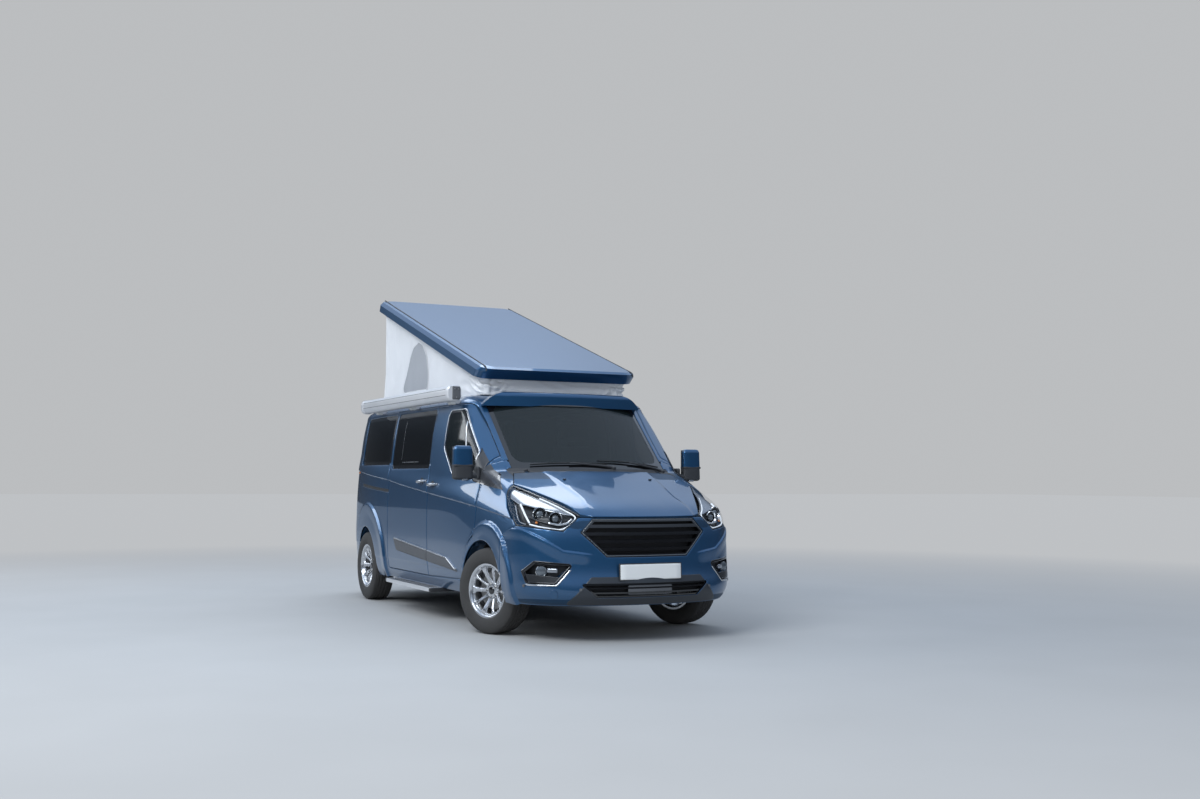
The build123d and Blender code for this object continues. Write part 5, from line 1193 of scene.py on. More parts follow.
def capsule(name, xs, grows, mat):
    """A length of the awning's section with its size grown or shrunk along it, closed at both ends."""
    rows = []
    for x, g in zip(xs, grows):
        q = rounded_ring(0.118 + 2 * g, 0.132 + 2 * g, max(0.046 + g, 0.004))
        rows.append(np.stack([np.full(len(q), x), AWN_Y + q[:, 0], AWN_Z + q[:, 1]], 1))
    mid = lambda x: np.broadcast_to(np.array([x, AWN_Y, AWN_Z]), rows[0].shape)
    p = np.stack([mid(xs[0])] + rows + [mid(xs[-1])], 1)
    return outward(patch(name, p, mat, "body", closed=True, angle=40))


capsule("awning_end_front", [0.930, 0.931, 0.972, 0.980, 0.980], [0.0, 0.0045, 0.0045, -0.004, -0.03],
        "awning")
block("awning_end_plate", (0.9805, AWN_Y + 0.016, AWN_Z + 0.002), (0.014, 0.070, 0.112), "grey", "body",
      0.018)
capsule("awning_end_rear", [-1.662, -1.662, -1.654, -1.600, -1.598], [-0.03, -0.004, 0.0045, 0.0045, 0.0],
        "awning")
lip = []
for x in np.linspace(-1.597, 0.934, 12):
    t = np.radians(np.linspace(-158, -96, 22))
    w, h, r = 0.059 - 0.046, 0.066 - 0.046, 0.0475
    lip.append(np.stack([np.full(22, x), AWN_Y + np.sign(np.cos(t)) * w + np.cos(t) * r,
                         AWN_Z + np.sign(np.sin(t)) * h + np.sin(t) * r], 1))
patch("awning_rail_lip", np.array(lip)[:, ::-1], "awning", "body")
for k, z in enumerate((1.994, 1.944)):
    block(f"awning_groove_{k + 1}", (-0.331, AWN_Y - 0.0588, z), (2.53, 0.0022, 0.004 if k else 0.003),
          "dark", "body", 0.0008)
for k, x in enumerate((-1.42, -0.34, 0.74)):
    block(f"awning_clamp_{k + 1}", (x, -0.930, 1.892), (0.066, 0.050, 0.034), "white", "body", 0.006)
    block(f"awning_hook_{k + 1}", (x, -0.962, 1.906), (0.050, 0.030, 0.030), "white", "body", 0.005)
for y, z in ((0.000, 0.036), (0.032, 0.036), (0.016, -0.035)):
    turned(f"awning_screw_{'ab'[y > 0.01]}{'cd'[z > 0]}", [(0, 1e-4), (0, 0.006), (0.003, 0.0045),
                                                           (0.0035, 1e-4)], (0.987, AWN_Y + y, AWN_Z + z),
           (1, 0, 0), "steel", "body", 12)

# Side step: ribs of dark rubber and end caps on its board
for k, y in enumerate(np.linspace(-1.035, -0.945, 5)):
    block(f"step_rib_{k + 1}", (-0.10, y, 0.2852), (1.20, 0.010, 0.0035), "dark", "body", 0.0015)
for k, x in enumerate((-0.745, 0.545)):
    block(f"step_end_{k + 1}", (x, -0.925, 0.2675), (0.028, 0.250, 0.036), "dark", "body", 0.010)


# Mirrors: painted cap, dark lower half and arm, a small lamp, and two glasses behind
def mirror(side, word):
    """One mirror. Each level of its head is a rounded rectangle, x = |cos t|^0.42 hx and
    y = |sin t|^0.42 hy, that shrinks towards its foot and its top."""
    body = f"{word}_door"
    c = np.array([1.4055, side * 1.0705, 1.365])
    n_u, n_v = 56, 84
    t = np.linspace(0, 2 * pi, n_v, endpoint=False)
    rows = []
    for f in np.linspace(0, 1, n_u):
        z = 1.2262 + f * 0.2775
        grow = np.clip(f / 0.06, 0, 1)**0.5 * np.clip((1 - f) / 0.10, 0, 1)**0.42
        hx, hy = (0.0405 - 0.006 * f) * (0.55 + 0.45 * grow), (0.0865 - 0.008 * f) * (0.72 + 0.28 * grow)
        e = 0.42
        x = np.sign(np.cos(t)) * np.abs(np.cos(t))**e * hx
        y = np.sign(np.sin(t)) * np.abs(np.sin(t))**e * hy
        x = np.where(x > 0, x * (1.06 - 0.35 * (y / hy)**2 * 0.5), x)
        rows.append(np.stack([c[0] - 0.002 * f + x, c[1] + y, np.full(n_v, z)], 1))
    rows = np.array(rows)
    lower, upper = rows[:24], rows[24:]
    close = lambda r, first: np.concatenate([[np.broadcast_to(r[0].mean(0), r[0].shape)], r] if first else
                                            [r, [np.broadcast_to(r[-1].mean(0), r[-1].shape)]])
    cap = outward(patch(f"{word}_mirror_cap", np.swapaxes(close(upper, False), 0, 1), "paint", body,
                        closed=True, angle=50))
    low = lower - np.array([0, 0, 0.0012])
    low = close(c + (low - c) * np.array([0.985, 0.985, 1]), True)
    outward(patch(f"{word}_mirror_shell", np.swapaxes(low, 0, 1), "dark", body, closed=True, angle=50))
    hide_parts(f"{word}_mirror")
    block(f"{word}_mirror_collar", c + (0, 0, -0.0235), (0.078, 0.166, 0.020), "dark", body, 0.006)
    path = np.array([[1.408, side * 1.030, 1.262], [1.407, side * 0.990, 1.262],
                     [1.404, side * 0.962, 1.263], [1.398, side * 0.938, 1.268]])
    tube(f"{word}_mirror_arm", path, [0.020, 0.022, 0.025, 0.031], "dark", body, 20)
    block(f"{word}_mirror_foot", (1.388, side * 0.936, 1.283), (0.092, 0.030, 0.105), "dark", body, 0.014,
          turn=turn_z(side * 5))
    block(f"{word}_mirror_lamp", c + (0.022, -side * 0.012, -0.1385), (0.034, 0.046, 0.016),
          "lamp_silver", body, 0.005)
    block(f"{word}_mirror_glass", c + (-0.0395, 0, 0.038), (0.006, 0.140, 0.150), "mirror", body, 0.003)
    block(f"{word}_mirror_low_glass", c + (-0.0405, 0, -0.085), (0.006, 0.136, 0.058), "mirror", body, 0.003)
    block(f"{word}_mirror_bezel", c + (-0.0380, 0, 0.012), (0.006, 0.156, 0.240), "dark", body, 0.004)


def turn_z(degrees):
    """Rotation matrix about the upright axis."""
    a = radians(degrees)
    return np.array([[cos(a), -sin(a), 0], [sin(a), cos(a), 0], [0, 0, 1]])


def turn_y(degrees):
    """Rotation matrix about the axis across the van."""
    a = radians(degrees)
    return np.array([[cos(a), 0, sin(a)], [0, 1, 0], [-sin(a), 0, cos(a)]])


mirror(-1, "right")
mirror(1, "left")


# Pull handles: a bar on two feet over a dark round recess, with a lock beside it
HANDLE_TILT = 4.0


def handle(name, x, z, right, body):
    """One pull handle, tilted up at its front end by HANDLE_TILT degrees."""
    side = -1 if right else 1
    p, n = on_side(np.array([x]), np.array([z]), 0.0, right)
    p, n = p[0], n[0]
    along = np.array([cos(radians(HANDLE_TILT)), 0, sin(radians(HANDLE_TILT))])
    along -= n * (along @ n)
    along /= np.linalg.norm(along)
    turned(f"{name}_recess", [(0.0008, 1e-4), (0.0016, 0.028), (0.0028, 0.0345), (0.0040, 0.0365),
                              (0.0016, 0.0385)], p - along * 0.004, n, "dark", body, 48)
    s = np.linspace(-1, 1, 31)
    path = p + along * (s * 0.086)[:, None] + n * (0.013 + 0.021 * (1 - np.abs(s)**3.2))[:, None]
    r = 0.0095 + 0.0035 * (1 - s**2)
    tube(f"{name}_grip", path, r, "satin", body, 20)
    for k in (-1, 1):
        q = p + along * (k * 0.083)
        tube(f"{name}_foot_{'a' if k < 0 else 'b'}", np.array([q, q + n * 0.017]), 0.0115, "satin", body, 16)
    turned(f"{name}_lock", [(0.001, 0.010), (0.0045, 0.009), (0.0050, 1e-4)], p + along * 0.112, n,
           "satin", body, 24)


handle("right_front_handle", 0.418, 1.178, True, "right_door")
handle("left_front_handle", 0.418, 1.178, False, "left_door")
handle("slide_handle", 0.112, 1.205, True, "body")


def ribbon(name, xs, zs, half, mat, body, right=True, lift=0.004, slot="", crown=0.003):
    """A raised strip on the body's side along a line of x and z, rounded over its width."""
    xs, zs = np.asarray(xs, float), np.asarray(zs, float)
    half = np.broadcast_to(np.asarray(half, float), xs.shape)
    t = np.linspace(-1, 1, 13)
    z = zs[:, None] + half[:, None] * t
    x = np.broadcast_to(xs[:, None], z.shape)
    rise = lift + crown * (1 - t**2)
    rise = np.where(np.abs(t) > 0.99, -0.001, rise)
    rise = np.broadcast_to(rise, z.shape).copy()
    rise[0], rise[-1] = -0.001, -0.001
    p, n = on_side(x, z, 0, right)
    p = p + n * rise[..., None]
    return patch(name, p if not right else p[:, ::-1], mat, body, slot=slot, angle=40)


# Sliding door's rail slot, and the side mouldings with a bright line along their tops
xs = np.linspace(-1.955, -0.905, 90)
zs = 1.166 + (xs + 1.976) * (1.112 - 1.166) / 1.08
# The rail slot is a shallow groove in black rubber: painted shade standing for the slot's depth
ribbon("slide_rail", xs, zs, 0.015, "seal", "body", True, lift=0.0030, crown=-0.0022)
ribbon("slide_rail_lip", xs, zs - 0.0165, 0.0028, "paint", "body", True, lift=0.0042, crown=0.0010)


def moulding(name, x0, x1, right, body):
    """Part of the side moulding between two x values: its top edge falls forwards to a point."""
    xs = np.linspace(x0, x1, 60)
    top = np.where(xs < 0.80, 0.676 + (xs + 0.699) * (0.566 - 0.676) / 1.50,
                   0.566 + (xs - 0.80) * (0.470 - 0.566) / 0.235)
    low = 0.552 + (xs + 0.62) * (0.455 - 0.552) / 1.65
    low = np.minimum(low, top - 0.004)
    start = np.clip((xs + 0.699) / 0.075, 0, 1)
    low = top - (top - low) * np.clip(start, 0.03, 1)
    t = np.linspace(0, 1, 15)
    z = low[:, None] * (1 - t) + top[:, None] * t
    x = np.broadcast_to(xs[:, None], z.shape)
    rise = np.broadcast_to(0.0045 + 0.0085 * np.sin(pi * np.clip(t * 0.9 + 0.1, 0, 1))**0.8, z.shape).copy()
    rise[:, 0] = rise[:, -1] = -0.001
    rise[0] = rise[-1] = -0.001
    p, n = on_side(x, z, 0, right)
    p = p + n * rise[..., None]
    patch(name, p[:, ::-1] if right else p, "grey", body, angle=45)
    ribbon(f"{name}_bright", xs[1:-1], top[1:-1] - 0.005, 0.0060, "satin", body, right, lift=0.0130,
           crown=0.0030, slot=None)


moulding("slide_moulding", -0.699, 0.272, True, "body")
moulding("right_door_moulding", 0.286, 1.030, True, "right_door")
moulding("left_side_moulding", -0.699, 0.272, False, "body")
moulding("left_door_moulding", 0.286, 1.030, False, "left_door")

# Amber side markers behind the rear wheels
for word in ("right", "left"):
    ribbon(f"{word}_marker", np.linspace(-2.350, -2.290, 12), np.full(12, 1.292), 0.010, "amber", "body",
           word == "right", lift=0.003)


# The outer form as a search tree, to set small pieces on it
NET_UV, NET_TRIS = grid(np.linspace(0, 7, 560), np.linspace(0.286, 1.9648, 170))
NET = hull(NET_UV[:, 0], NET_UV[:, 1])
TREE = BVHTree.FromPolygons(NET.tolist(), NET_TRIS.tolist())


def on_hull(points):
    """The nearest surface points and outward normals to some points, on either hand."""
    at, n = [], []
    for q in np.atleast_2d(np.asarray(points, float)):
        turn = np.array((1, -1 if q[1] < 0 else 1, 1))
        near, normal, _, _ = TREE.find_nearest(Vector((q[0], abs(q[1]), q[2])))
        near, normal = np.array(near), np.array(normal)
        if normal @ (near - (0.3 if q[0] > 0 else -0.3, 0, 0.9)) < 0:
            normal = -normal
        at.append(near * turn)
        n.append(normal * turn)
    return np.array(at), np.array(n)


def hand_points(points, sign):
    """Points measured on the right, carried to the side with this sign."""
    q = np.atleast_2d(np.asarray(points, float)).copy()
    q[:, 1] *= -sign
    return q


def eased(points, count):
    """A smooth line through a few points, evenly sampled."""
    p = np.asarray(points, float)
    d = np.concatenate([[0], np.cumsum(np.linalg.norm(np.diff(p, axis=0), axis=1))])
    fine = np.stack([np.interp(np.linspace(0, d[-1], count), d, p[:, k]) for k in range(3)], 1)
    for _ in range(max(2, count // 12)):
        fine[1:-1] = (fine[:-2] + 2 * fine[1:-1] + fine[2:]) / 4
    return fine


def inlaid(name, line, count, depth, radius, mat, steps, sign):
    """A tube along an eased line, a depth under the outer form."""
    p, n = on_hull(hand_points(eased(line, count), sign))
    tube(name, p - n * depth, radius, mat, "body", steps)


LED_LINE = [(2.298, -.860, .892), (2.376, -.804, .874), (2.433, -.734, .861), (2.466, -.672, .853),
            (2.482, -.622, .873), (2.492, -.556, .936), (2.474, -.553, .962), (2.393, -.612, 1.008),
            (2.287, -.660, 1.050), (2.164, -.714, 1.093)]
BROW_X, BROW_Z = [1.8, 2.09, 2.18, 2.29, 2.38, 2.44, 2.6], [1.130, 1.055, 1.048, 1.028, 1.003, 0.980, 0.940]
lamp_region = less(lamp_zone, plan(outline(BONNET_PLAN, grow=0.008)))
LAMP_S, LAMP_Z = np.linspace(0.55, 2.7, 120), np.linspace(0.83, 1.24, 90)
FOG_S, FOG_Z = np.linspace(0.8, 2.8, 150), np.linspace(0.42, 0.67, 80)


def brow_line(p):
    """Height above the silver brow's lower edge."""
    return p[:, 2] - np.interp(p[:, 0], BROW_X, BROW_Z)


def facing(sign, out):
    """A lamp's direction: forwards, and outwards by out."""
    v = np.array([1.0, out * sign, 0.0])
    return v / np.linalg.norm(v)


for sgn, word in ((-1, "right"), (1, "left")):
    hand = word == "right"
    cover = skin(f"{word}_lamp_lens", left_surface, LAMP_S, LAMP_Z, lamp_region, "clear", "body",
                 lift=0.0035, right=hand, roll=0.005)
    if hand:
        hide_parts("front_lamps")
    skin(f"{word}_lamp_back", left_surface, LAMP_S, LAMP_Z, lamp_zone, "lamp_dark", "body", lift=-0.056,
         roll=0, right=hand)
    skin(f"{word}_lamp_rim", left_surface, LAMP_S, LAMP_Z,
         less(lamp_region, lambda p: lamp_region(p) - 0.009), "gloss", "body", lift=-0.003, roll=0.002,
         right=hand)
    skin(f"{word}_lamp_brow", left_surface, LAMP_S, LAMP_Z, both(lambda p: lamp_region(p) - 0.012, brow_line),
         "lamp_silver", "body", lift=-0.022, roll=0.004, right=hand)
    inlaid(f"{word}_lamp_led", LED_LINE, 110, 0.014, 0.0058, "led", 10, sgn)
    inlaid(f"{word}_lamp_side_strip", [(2.128, -.872, 1.052), (2.200, -.868, .990), (2.292, -.862, .904)],
           40, 0.017, 0.0075, "led", 10, sgn)
    inlaid(f"{word}_lamp_corner_strip", [(2.070, -.893, 1.035), (2.125, -.897, .965),
                                         (2.190, -.897, .905), (2.260, -.880, .890)], 40, 0.019, 0.0050,
           "lamp_silver", 10, sgn)
    for k, (spot, r) in enumerate((((2.318, -.790, .985), 0.050), ((2.418, -.695, .957), 0.046))):
        q, m = on_hull(hand_points([spot], sgn))
        look, at = facing(sgn, 0.22), q[0] - m[0] * 0.042
        turned(f"{word}_reflector_{k + 1}", [(-0.030, 0.010), (-0.024, 0.026), (-0.008, r * 0.82),
                                             (0.014, r), (0.018, r + 0.004), (0.010, r + 0.006),
                                             (-0.012, r * 0.86), (-0.034, 0.012)], at, look, "chrome",
               "body", 48)
        turned(f"{word}_projector_{k + 1}", [(-0.020, r * 0.62), (0.000, r * 0.62), (0.010, r * 0.50),
                                             (0.016, r * 0.28), (0.0175, 1e-4)], at, look, "lamp_glass",
               "body", 48)
        turned(f"{word}_projector_ring_{k + 1}", [(-0.018, r * 0.60), (0.002, r * 0.66),
                                                  (0.006, r * 0.72), (0.000, r * 0.78),
                                                  (-0.018, r * 0.74)], at, look, "gloss", "body", 48)
    inlaid(f"{word}_lamp_wing", [(2.40, -.745, .905), (2.450, -.680, .893), (2.474, -.620, .905),
                                 (2.472, -.580, .935)], 30, 0.030, 0.009, "chrome", 10, sgn)
    inlaid(f"{word}_lamp_slat", [(2.250, -.850, .945), (2.330, -.815, .925), (2.400, -.755, .905)], 24,
           0.036, 0.006, "gloss", 8, sgn)
    p, n = on_hull(hand_points([(2.338, -.827, .910)], sgn))
    turned(f"{word}_lamp_amber", [(-0.006, 0.010), (0.004, 0.010), (0.008, 0.006), (0.009, 1e-4)],
           p[0] - n[0] * 0.030, n[0], "amber", "body", 20)

    # Fog lamp: a dark recess with a bright lower edge, a lamp and two slats
    pocket, look_edge = front(outline(FOG, grow=0.003)), front(outline(FOG_LOOK, 0.018))
    skin(f"{word}_fog_back", left_surface, FOG_S, FOG_Z, pocket, "lamp_dark", "body", lift=-0.056, roll=0,
         right=hand)
    skin(f"{word}_fog_foot", left_surface, FOG_S, FOG_Z,
         less(front(outline(FOG_LOOK, 0.018, grow=-0.010)), front(outline(FOG))), "lamp_dark", "body",
         lift=0.0030, roll=0.003, right=hand)
    skin(f"{word}_fog_frame", left_surface, FOG_S, FOG_Z,
         both(front(outline(FOG_LOOK, 0.018, grow=0.004)), lambda p: 0.015 - look_edge(p)), "gloss",
         "body", lift=0.0045, roll=0.004, right=hand, creases=[look_edge, lambda p: look_edge(p) - 0.015])
    skin(f"{word}_fog_bright", left_surface, FOG_S, FOG_Z,
         both(front(outline(FOG_LOOK, 0.018, grow=0.013)), lambda p: -0.003 - look_edge(p),
              lambda p: 0.500 + 0.4 * (0.75 - p[:, 1]) - p[:, 2]), "chrome", "body", lift=0.0070,
         roll=0.003, right=hand, slot=None, creases=[lambda p: look_edge(p) + 0.003,
                                                     lambda p: look_edge(p) + 0.008])
    q, m = on_hull(hand_points([(2.400, -.800, .540)], sgn))
    look, at = facing(sgn, 0.26), q[0] - m[0] * 0.020
    turned(f"{word}_fog_bowl", [(-0.020, 0.008), (-0.014, 0.024), (0.0, 0.037), (0.008, 0.0415),
                                (0.004, 0.0445), (-0.018, 0.030)], at, look, "chrome", "body", 40)
    turned(f"{word}_fog_lens", [(0.003, 0.0395), (0.010, 0.034), (0.014, 0.019), (0.015, 1e-4)], at, look,
           "lamp_glass", "body", 40)
    q, m = on_hull(hand_points([(2.455, -.730, .548)], sgn))
    block(f"{word}_fog_side_lamp", q[0] - m[0] * 0.018, (0.030, 0.085, 0.036), "lamp_silver", "body",
          0.010, turn=turn_z(sgn * 40), steps=6)
    for k, (z, y0, y1) in enumerate(((0.594, -.860, -.640), (0.500, -.880, -.740))):
        line = [(2.36 - (y + .86) * -0.75, y, z) for y in np.linspace(y0, y1, 5)]
        inlaid(f"{word}_fog_slat_{k + 1}", line, 40, 0.004 if k else 0.030, 0.0060, "dark", 8, sgn)
    for k, spot in enumerate(((2.556, -.545, .405), (2.300, -.893, .430))):
        q, m = on_hull(hand_points([spot], sgn))
        turned(f"{word}_sensor_{k + 1}", [(0.0, 0.0115), (0.0100, 0.0110), (0.0108, 1e-4)], q[0], m[0],
               "grey", "body", 24)
    q, m = on_hull([(1.9105, sgn * 0.388, 1.2225)])
    block(f"{word}_washer_jet", q[0] + m[0] * 0.0125, (0.018, 0.026, 0.010), "dark", "bonnet", 0.004)

# Blank number plates on their carriers
for word, body, x, z, ahead, slant in (("front", "body", 2.654, 0.536, 0.007, -2.0),
                                       ("rear", "tailgate", -2.606, 0.800, -0.007, 3.0)):
    block(f"{word}_plate", (x + ahead, 0, z), (0.005, 0.520, 0.114), "plate", body, 0.0024,
          turn=turn_y(slant))
    block(f"{word}_plate_holder", (x, 0, z), (0.012, 0.538, 0.130), "dark", body, 0.005, turn=turn_y(slant))
q, m = on_hull([(2.49, -0.735, 0.372)])
turned("tow_cover", [(0.0015, 0.034), (0.0060, 0.033), (0.0066, 1e-4)], q[0], m[0], "paint", "body", 40)


# Wipers: arms from the scuttle, blades along the glass
def on_screen(y, z, lift):
    """A point over the windscreen at y and height z, with the glass's normal."""
    q, m = on_hull([(1.70 - (z - 1.32) * 1.02 - 0.16 * y * y, y, z)])
    return q[0] + m[0] * lift, m[0]


def wiper(name, pivot, root, tip):
    """An arm from its pivot to the blade's middle, a hub, and the blade with its lip from root to tip."""
    a, _ = on_screen(*pivot, 0.008)
    mid, m = on_screen((root[0] + tip[0]) / 2, (root[1] + tip[1]) / 2, 0.019)
    line = np.array([a - (0, 0, 0.004), a * 0.75 + mid * 0.25 + m * 0.002, a * 0.4 + mid * 0.6
                     + m * 0.002, mid])
    tube(f"{name}_arm", eased(line, 24), np.linspace(0.011, 0.0065, 24), "dark", "body", 12)
    turned(f"{name}_hub", [(-0.015, 0.021), (0.008, 0.021), (0.014, 0.014), (0.015, 1e-4)],
           a - (0, 0, 0.006), (0.35, 0, 0.94), "dark", "body", 28)
    s = np.linspace(0, 1, 34)
    rise = 0.018 * s * (1 - s)
    line = zip(root[0] + (tip[0] - root[0]) * s, root[1] + (tip[1] - root[1]) * s + rise)
    blade = np.array([on_screen(y, z, 0.0125)[0] for y, z in line])
    tube(f"{name}_blade", blade, 0.0068 * (0.55 + 0.45 * np.sin(pi * s)), "seal", "body", 10)
    tube(f"{name}_lip", blade - np.array([0.0050, 0, 0.0042]), 0.0028, "seal", "body", 6)


wiper("right_wiper", (0.155, 1.324), (0.100, 1.342), (-0.560, 1.356))
wiper("left_wiper", (0.680, 1.328), (0.640, 1.352), (0.020, 1.372))

# Tail lamps in three zones, with three round lamps in the red one
tail_region = lambda p: np.minimum.reduce([-2.462 - p[:, 0], p[:, 1] - 0.760, p[:, 2] - 0.903,
                                           1.327 - p[:, 2]])
TAIL_LAMP_S, TAIL_LAMP_Z = np.linspace(4.7, 6.6, 120), np.linspace(0.89, 1.34, 60)
for sgn, word in ((-1, "right"), (1, "left")):
    hand = word == "right"
    for zone, low, high, mat in (("lens", 1.020, 1.34, "red"), ("white", 0.962, 1.016, "lamp_glass"),
                                 ("amber", 0.90, 0.958, "amber")):
        skin(f"{word}_tail_{zone}", left_surface, TAIL_LAMP_S, TAIL_LAMP_Z,
             both(tail_region, above(low), below(high)), mat, "body", lift=0.006, roll=0.005, right=hand)
    for k, z in enumerate((1.10, 1.18, 1.26)):
        q, m = on_hull([(-2.53, sgn * 0.84, z)])
        turned(f"{word}_tail_bulb_{k + 1}", [(0.004, 0.024), (0.009, 0.022), (0.011, 0.012),
                                             (0.0115, 1e-4)], q[0], m[0], "red_glow", "body", 32)


# Seats: padded cushions and backs with side bolsters, seams, head rests and plastic sides
CUSHION_SWELL, SEAM_DEPTH, SEAM_WIDTH, RUMPLE = 0.015, 0.007, 0.006, 0.0012


def cushion(name, centre, size, mat, body, turn=None, round_off=0.05, bolster=0.0, seams=(), steps=12):
    """A soft box: rounded all round, its upper face swollen, raised at both sides by bolster, with sunk seams
    across it and a faint rumple of four sine waves drawn by the name's length."""
    q, faces = cube_grid(steps)
    half = np.asarray(size, float) / 2
    r = min(round_off, *(half * 0.9))
    p = rounded_box(q, half, r)
    top = smooth((q[:, 2] - 0.2) / 0.6)
    p[:, 2] += np.sign(q[:, 2]) * (1 - q[:, 0]**2) * (1 - q[:, 1]**2) * CUSHION_SWELL
    p[:, 2] += bolster * top * (smooth((np.abs(q[:, 1]) - 0.55) / 0.22)
                                * (1 - smooth((np.abs(q[:, 1]) - 0.90) / 0.10)))
    for kind, at in seams:
        d = np.abs(p[:, 0] - at) if kind == "x" else np.abs(np.abs(p[:, 1]) - at)
        p[:, 2] -= SEAM_DEPTH * top * np.exp(-(d / SEAM_WIDTH)**2)
    rng = np.random.default_rng(len(name) * 7 + 3)
    k = rng.uniform(6, 14, (4, 2))
    a = rng.uniform(0, 6, 4)
    p[:, 2] += RUMPLE * top * sum(np.sin(k[j, 0] * p[:, 0] * 3 + k[j, 1] * p[:, 1] * 3 + a[j])
                                  for j in range(4))
    if turn is not None:
        p = p @ np.asarray(turn).T
    return outward(mesh_object(name, p + np.asarray(centre), faces, mat, body, smooth_angle=60))


def seat_piece(name, *args, fill, **more):
    """A cushion."""
    piece = cushion(name, *args, **more)
    return piece


for sgn, word in ((-1, "right"), (1, "left")):
    y = sgn * 0.420
    base = seat_piece(f"{word}_seat_cushion", (0.725, y, 0.862), (0.520, 0.490, 0.140), "seat", "body",
                      turn=turn_y(-3.0), bolster=0.022, seams=[("x", 0.10), ("y", 0.150)], fill=0.75)
    if word == "right":
        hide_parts("front_seats")
    seat_piece(f"{word}_seat_back", (0.435, y, 1.225), (0.640, 0.480, 0.125), "seat", "body",
               turn=turn_y(-101.0), bolster=0.026, seams=[("x", -0.05), ("x", 0.17), ("y", 0.145)], fill=0.75)
    seat_piece(f"{word}_head_rest", (0.365, y, 1.672), (0.170, 0.270, 0.095), "seat", "body",
               turn=turn_y(-97.0), round_off=0.045, seams=[("x", 0.0)], fill=0.85, steps=8)
    for k, dy in enumerate((-0.05, 0.05)):
        tube(f"{word}_rest_post_{k + 1}", [(0.382, y + dy, 1.50), (0.374, y + dy, 1.56),
                                           (0.368, y + dy, 1.62)], 0.0065, "chrome", "body", 10, slot="steel")
    block(f"{word}_seat_plinth", (0.700, y, 0.725), (0.330, 0.380, 0.160), "cabin", "body", 0.020)
    block(f"{word}_seat_pan", (0.700, y, 0.800), (0.440, 0.440, 0.030), "cabin", "body", 0.012)
    for k, dy in enumerate((-0.238, 0.238)):
        turned(f"{word}_seat_recliner_{k + 1}", [(-0.012, 1e-4), (-0.012, 0.040), (0.010, 0.040),
                                                 (0.014, 0.034), (0.015, 1e-4)], (0.500, y + dy, 0.905),
               (0, 1 if dy > 0 else -1, 0), "cabin", "body", 32)
    cushion(f"{word}_arm_rest", (0.560, y - sgn * 0.262, 1.075), (0.300, 0.052, 0.060), "seat", "body",
            turn=turn_y(-4.0), round_off=0.024, steps=8)

first = None
for k, y in enumerate((-0.375, 0.175)):
    piece = seat_piece(f"bench_cushion_{k + 1}", (-0.965, y, 0.895), (0.540, 0.520, 0.130), "seat",
                       "body", turn=turn_y(-3.0), bolster=0.012, seams=[("x", 0.08), ("y", 0.180)], fill=0.75)
    first = first or piece
    seat_piece(f"bench_back_{k + 1}", (-1.225, y, 1.235), (0.580, 0.520, 0.110), "seat", "body",
               turn=turn_y(-98.5), bolster=0.012, seams=[("x", 0.02), ("y", 0.180)], fill=0.75)
    seat_piece(f"bench_head_rest_{k + 1}", (-1.290, y, 1.615), (0.130, 0.250, 0.085), "seat", "body",
               turn=turn_y(-96.0), round_off=0.038, fill=0.85, steps=8)
    for j, dy in enumerate((-0.05, 0.05)):
        tube(f"bench_post_{k + 1}_{j + 1}", [(-1.278, y + dy, 1.49), (-1.283, y + dy, 1.53),
                                             (-1.288, y + dy, 1.57)], 0.0060, "chrome", "body", 10,
             slot="steel")
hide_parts("rear_bench")
block("bench_box", (-0.985, -0.100, 0.735), (0.480, 1.060, 0.180), "cabin", "body", 0.015)

# Kitchen unit: a worktop, and five fronts with a knob each
block("worktop", (-0.590, 0.700, 1.3165), (1.296, 0.330, 0.016), "white", "body", 0.006, slot="furniture")
for k, (x, w, z, h) in enumerate(((-0.960, 0.500, 0.900, 0.460), (-0.420, 0.520, 0.900, 0.460),
                                  (-0.420, 0.520, 1.215, 0.130), (-0.960, 0.500, 1.215, 0.130),
                                  (-0.070, 0.140, 0.985, 0.600))):
    block(f"kitchen_door_{k + 1}", (x, 0.5180, z), (w, 0.010, h), "laminate", "body", 0.004)
    turned(f"kitchen_knob_{k + 1}", [(0.0, 0.010), (0.010, 0.008), (0.016, 0.013), (0.019, 0.011),
                                     (0.020, 1e-4)], (x, 0.512, z + h * 0.34), (0, -1, 0), "satin",
           "body", 24, slot="steel")


# Floor, light and camera
floor = bpy.data.objects.new("floor", bpy.data.meshes.new("floor"))
bpy.context.scene.collection.objects.link(floor)
floor.data.from_pydata([(-90, -90, 0), (90, -90, 0), (90, 90, 0), (-90, 90, 0)], [], [(0, 1, 2, 3)])

PALE = (0.50, 0.512, 0.525)


def floor_material():
    """A pale floor that runs into the plain background where the camera looks past the van."""
    t = Tree("floor_grey")
    where = t.place()
    away = t.add("ShaderNodeVectorMath", {"operation": "LENGTH"}, {0: where}, out="Value")
    far = ((away - 4.0) / 9.0).clipped() * t.add("ShaderNodeLightPath", {}, {}, out="Is Camera Ray")
    near = t.mix(t.noise(0.8, 3.0, where), colour(0.40, 0.395, 0.385), colour(0.45, 0.445, 0.435))
    return t.surface(Base_Color=t.mix(far, near, colour(0, 0, 0)), Roughness=0.85, Specular_IOR_Level=0.15,
                     Emission_Color=t.mix(far, colour(0, 0, 0), colour(*PALE)), Emission_Strength=1.0)


floor.data.materials.append(floor_material())

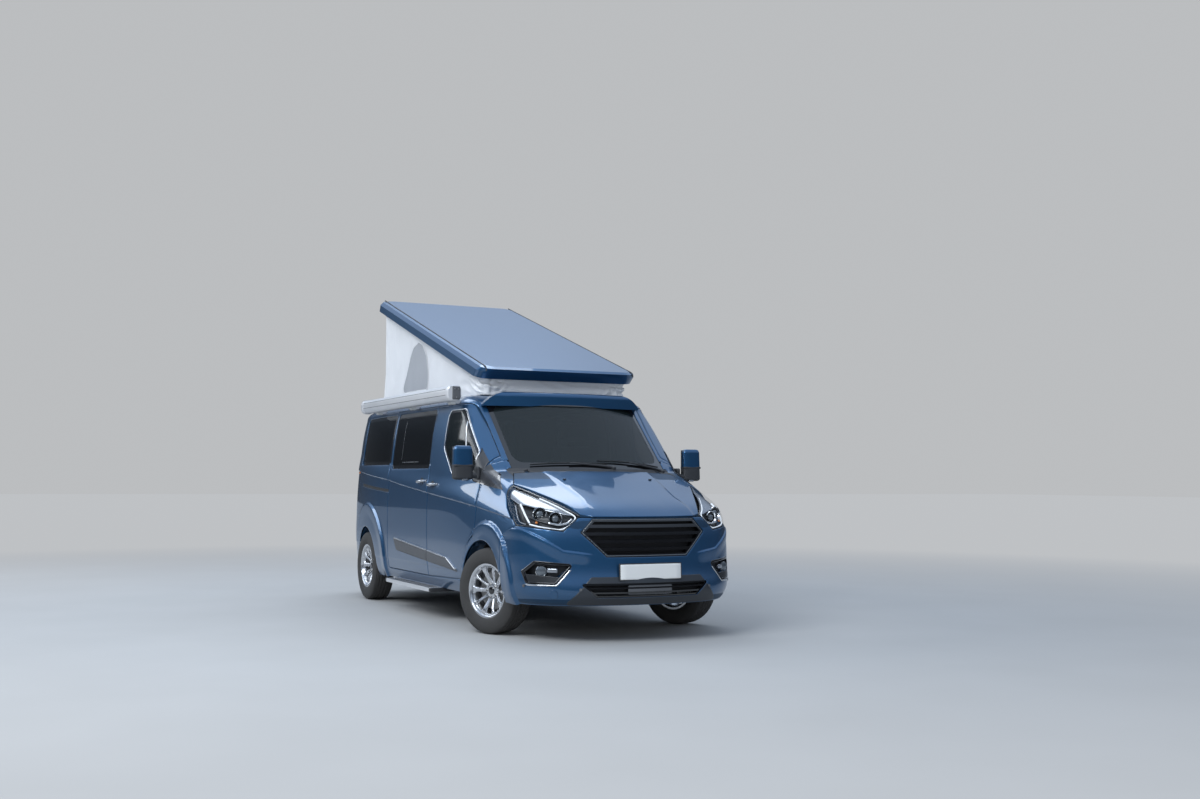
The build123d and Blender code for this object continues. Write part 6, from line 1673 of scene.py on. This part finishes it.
scene = bpy.context.scene
world = scene.world or bpy.data.worlds.new("studio")
scene.world = world
world.use_nodes = True
tree = world.node_tree
tree.nodes.clear()
out = tree.nodes.new("ShaderNodeOutputWorld")
sky = tree.nodes.new("ShaderNodeBackground")
ramp = tree.nodes.new("ShaderNodeValToRGB")
place = tree.nodes.new("ShaderNodeTexCoord")
parts = tree.nodes.new("ShaderNodeSeparateXYZ")
tree.links.new(place.outputs["Generated"], parts.inputs[0])
tree.links.new(parts.outputs["Z"], ramp.inputs[0])
ramp.color_ramp.elements[0].color = (0.045, 0.048, 0.052, 1)
ramp.color_ramp.elements[1].color = (0.66, 0.80, 1.0, 1)
for at, tone in ((0.12, 0.07), (0.22, 0.16), (0.34, 0.52), (0.55, 0.74)):
    ramp.color_ramp.elements.new(at).color = (tone * 0.74, tone * 0.90, tone * 1.16, 1)
tree.links.new(ramp.outputs[0], sky.inputs[0])
sky.inputs[1].default_value = 0.95
seen = tree.nodes.new("ShaderNodeBackground")
seen.inputs[0].default_value = (*PALE, 1)
choose = tree.nodes.new("ShaderNodeMixShader")
ray = tree.nodes.new("ShaderNodeLightPath")
tree.links.new(ray.outputs["Is Camera Ray"], choose.inputs[0])
tree.links.new(sky.outputs[0], choose.inputs[1])
tree.links.new(seen.outputs[0], choose.inputs[2])
tree.links.new(choose.outputs[0], out.inputs[0])


def area_light(name, at, target, size, power):
    """A soft light at one place, turned to another."""
    light = bpy.data.lights.new(name, "AREA")
    light.shape = "RECTANGLE"
    light.size, light.size_y, light.energy = size[0], size[1], power
    light.color = (0.90, 0.95, 1.0)
    obj = bpy.data.objects.new(name, light)
    scene.collection.objects.link(obj)
    obj.location = at
    obj.rotation_euler = (Vector(target) - Vector(at)).to_track_quat("-Z", "Y").to_euler()
    return obj


area_light("key", (5.5, -7.5, 7.5), (0, 0, 0.9), (6, 4), 760)
front_light = area_light("front", (11.0, -1.5, 1.8), (2.0, 0, 1.8), (9, 3), 190)
front_light.visible_glossy = False
area_light("fill", (-7.0, -7.5, 5.0), (-0.5, 0, 1.0), (6, 4), 260)
area_light("top", (-4.0, 0.5, 9.0), (-1.5, 0, 1.0), (6, 5), 300)

# The camera fitted to the photo
PICTURE, SENSOR, FOCAL_PIXELS = (1200, 799), 36.0, 1320.7
CAMERA_AT = (11.5765, -4.8005, 1.2324)
YAW, PITCH, ROLL = radians(26.06), radians(3.474), radians(0.3077)
camera = bpy.data.objects.new("camera", bpy.data.cameras.new("camera"))
scene.collection.objects.link(camera)
camera.data.sensor_width = SENSOR
camera.data.lens = FOCAL_PIXELS / PICTURE[0] * SENSOR
camera.data.clip_end = 300.0
ahead = Vector((-cos(YAW) * cos(PITCH), sin(YAW) * cos(PITCH), sin(PITCH)))
across = ahead.cross(Vector((0, 0, 1))).normalized()
upward = across.cross(ahead)
right_axis = across * cos(ROLL) + upward * sin(ROLL)
up_axis = upward * cos(ROLL) - across * sin(ROLL)
turned_to = Matrix((right_axis, up_axis, -ahead)).transposed().to_4x4()
camera.matrix_world = Matrix.Translation(CAMERA_AT) @ turned_to
scene.camera = camera
scene.render.resolution_x, scene.render.resolution_y = PICTURE
scene.view_settings.view_transform = "Standard"
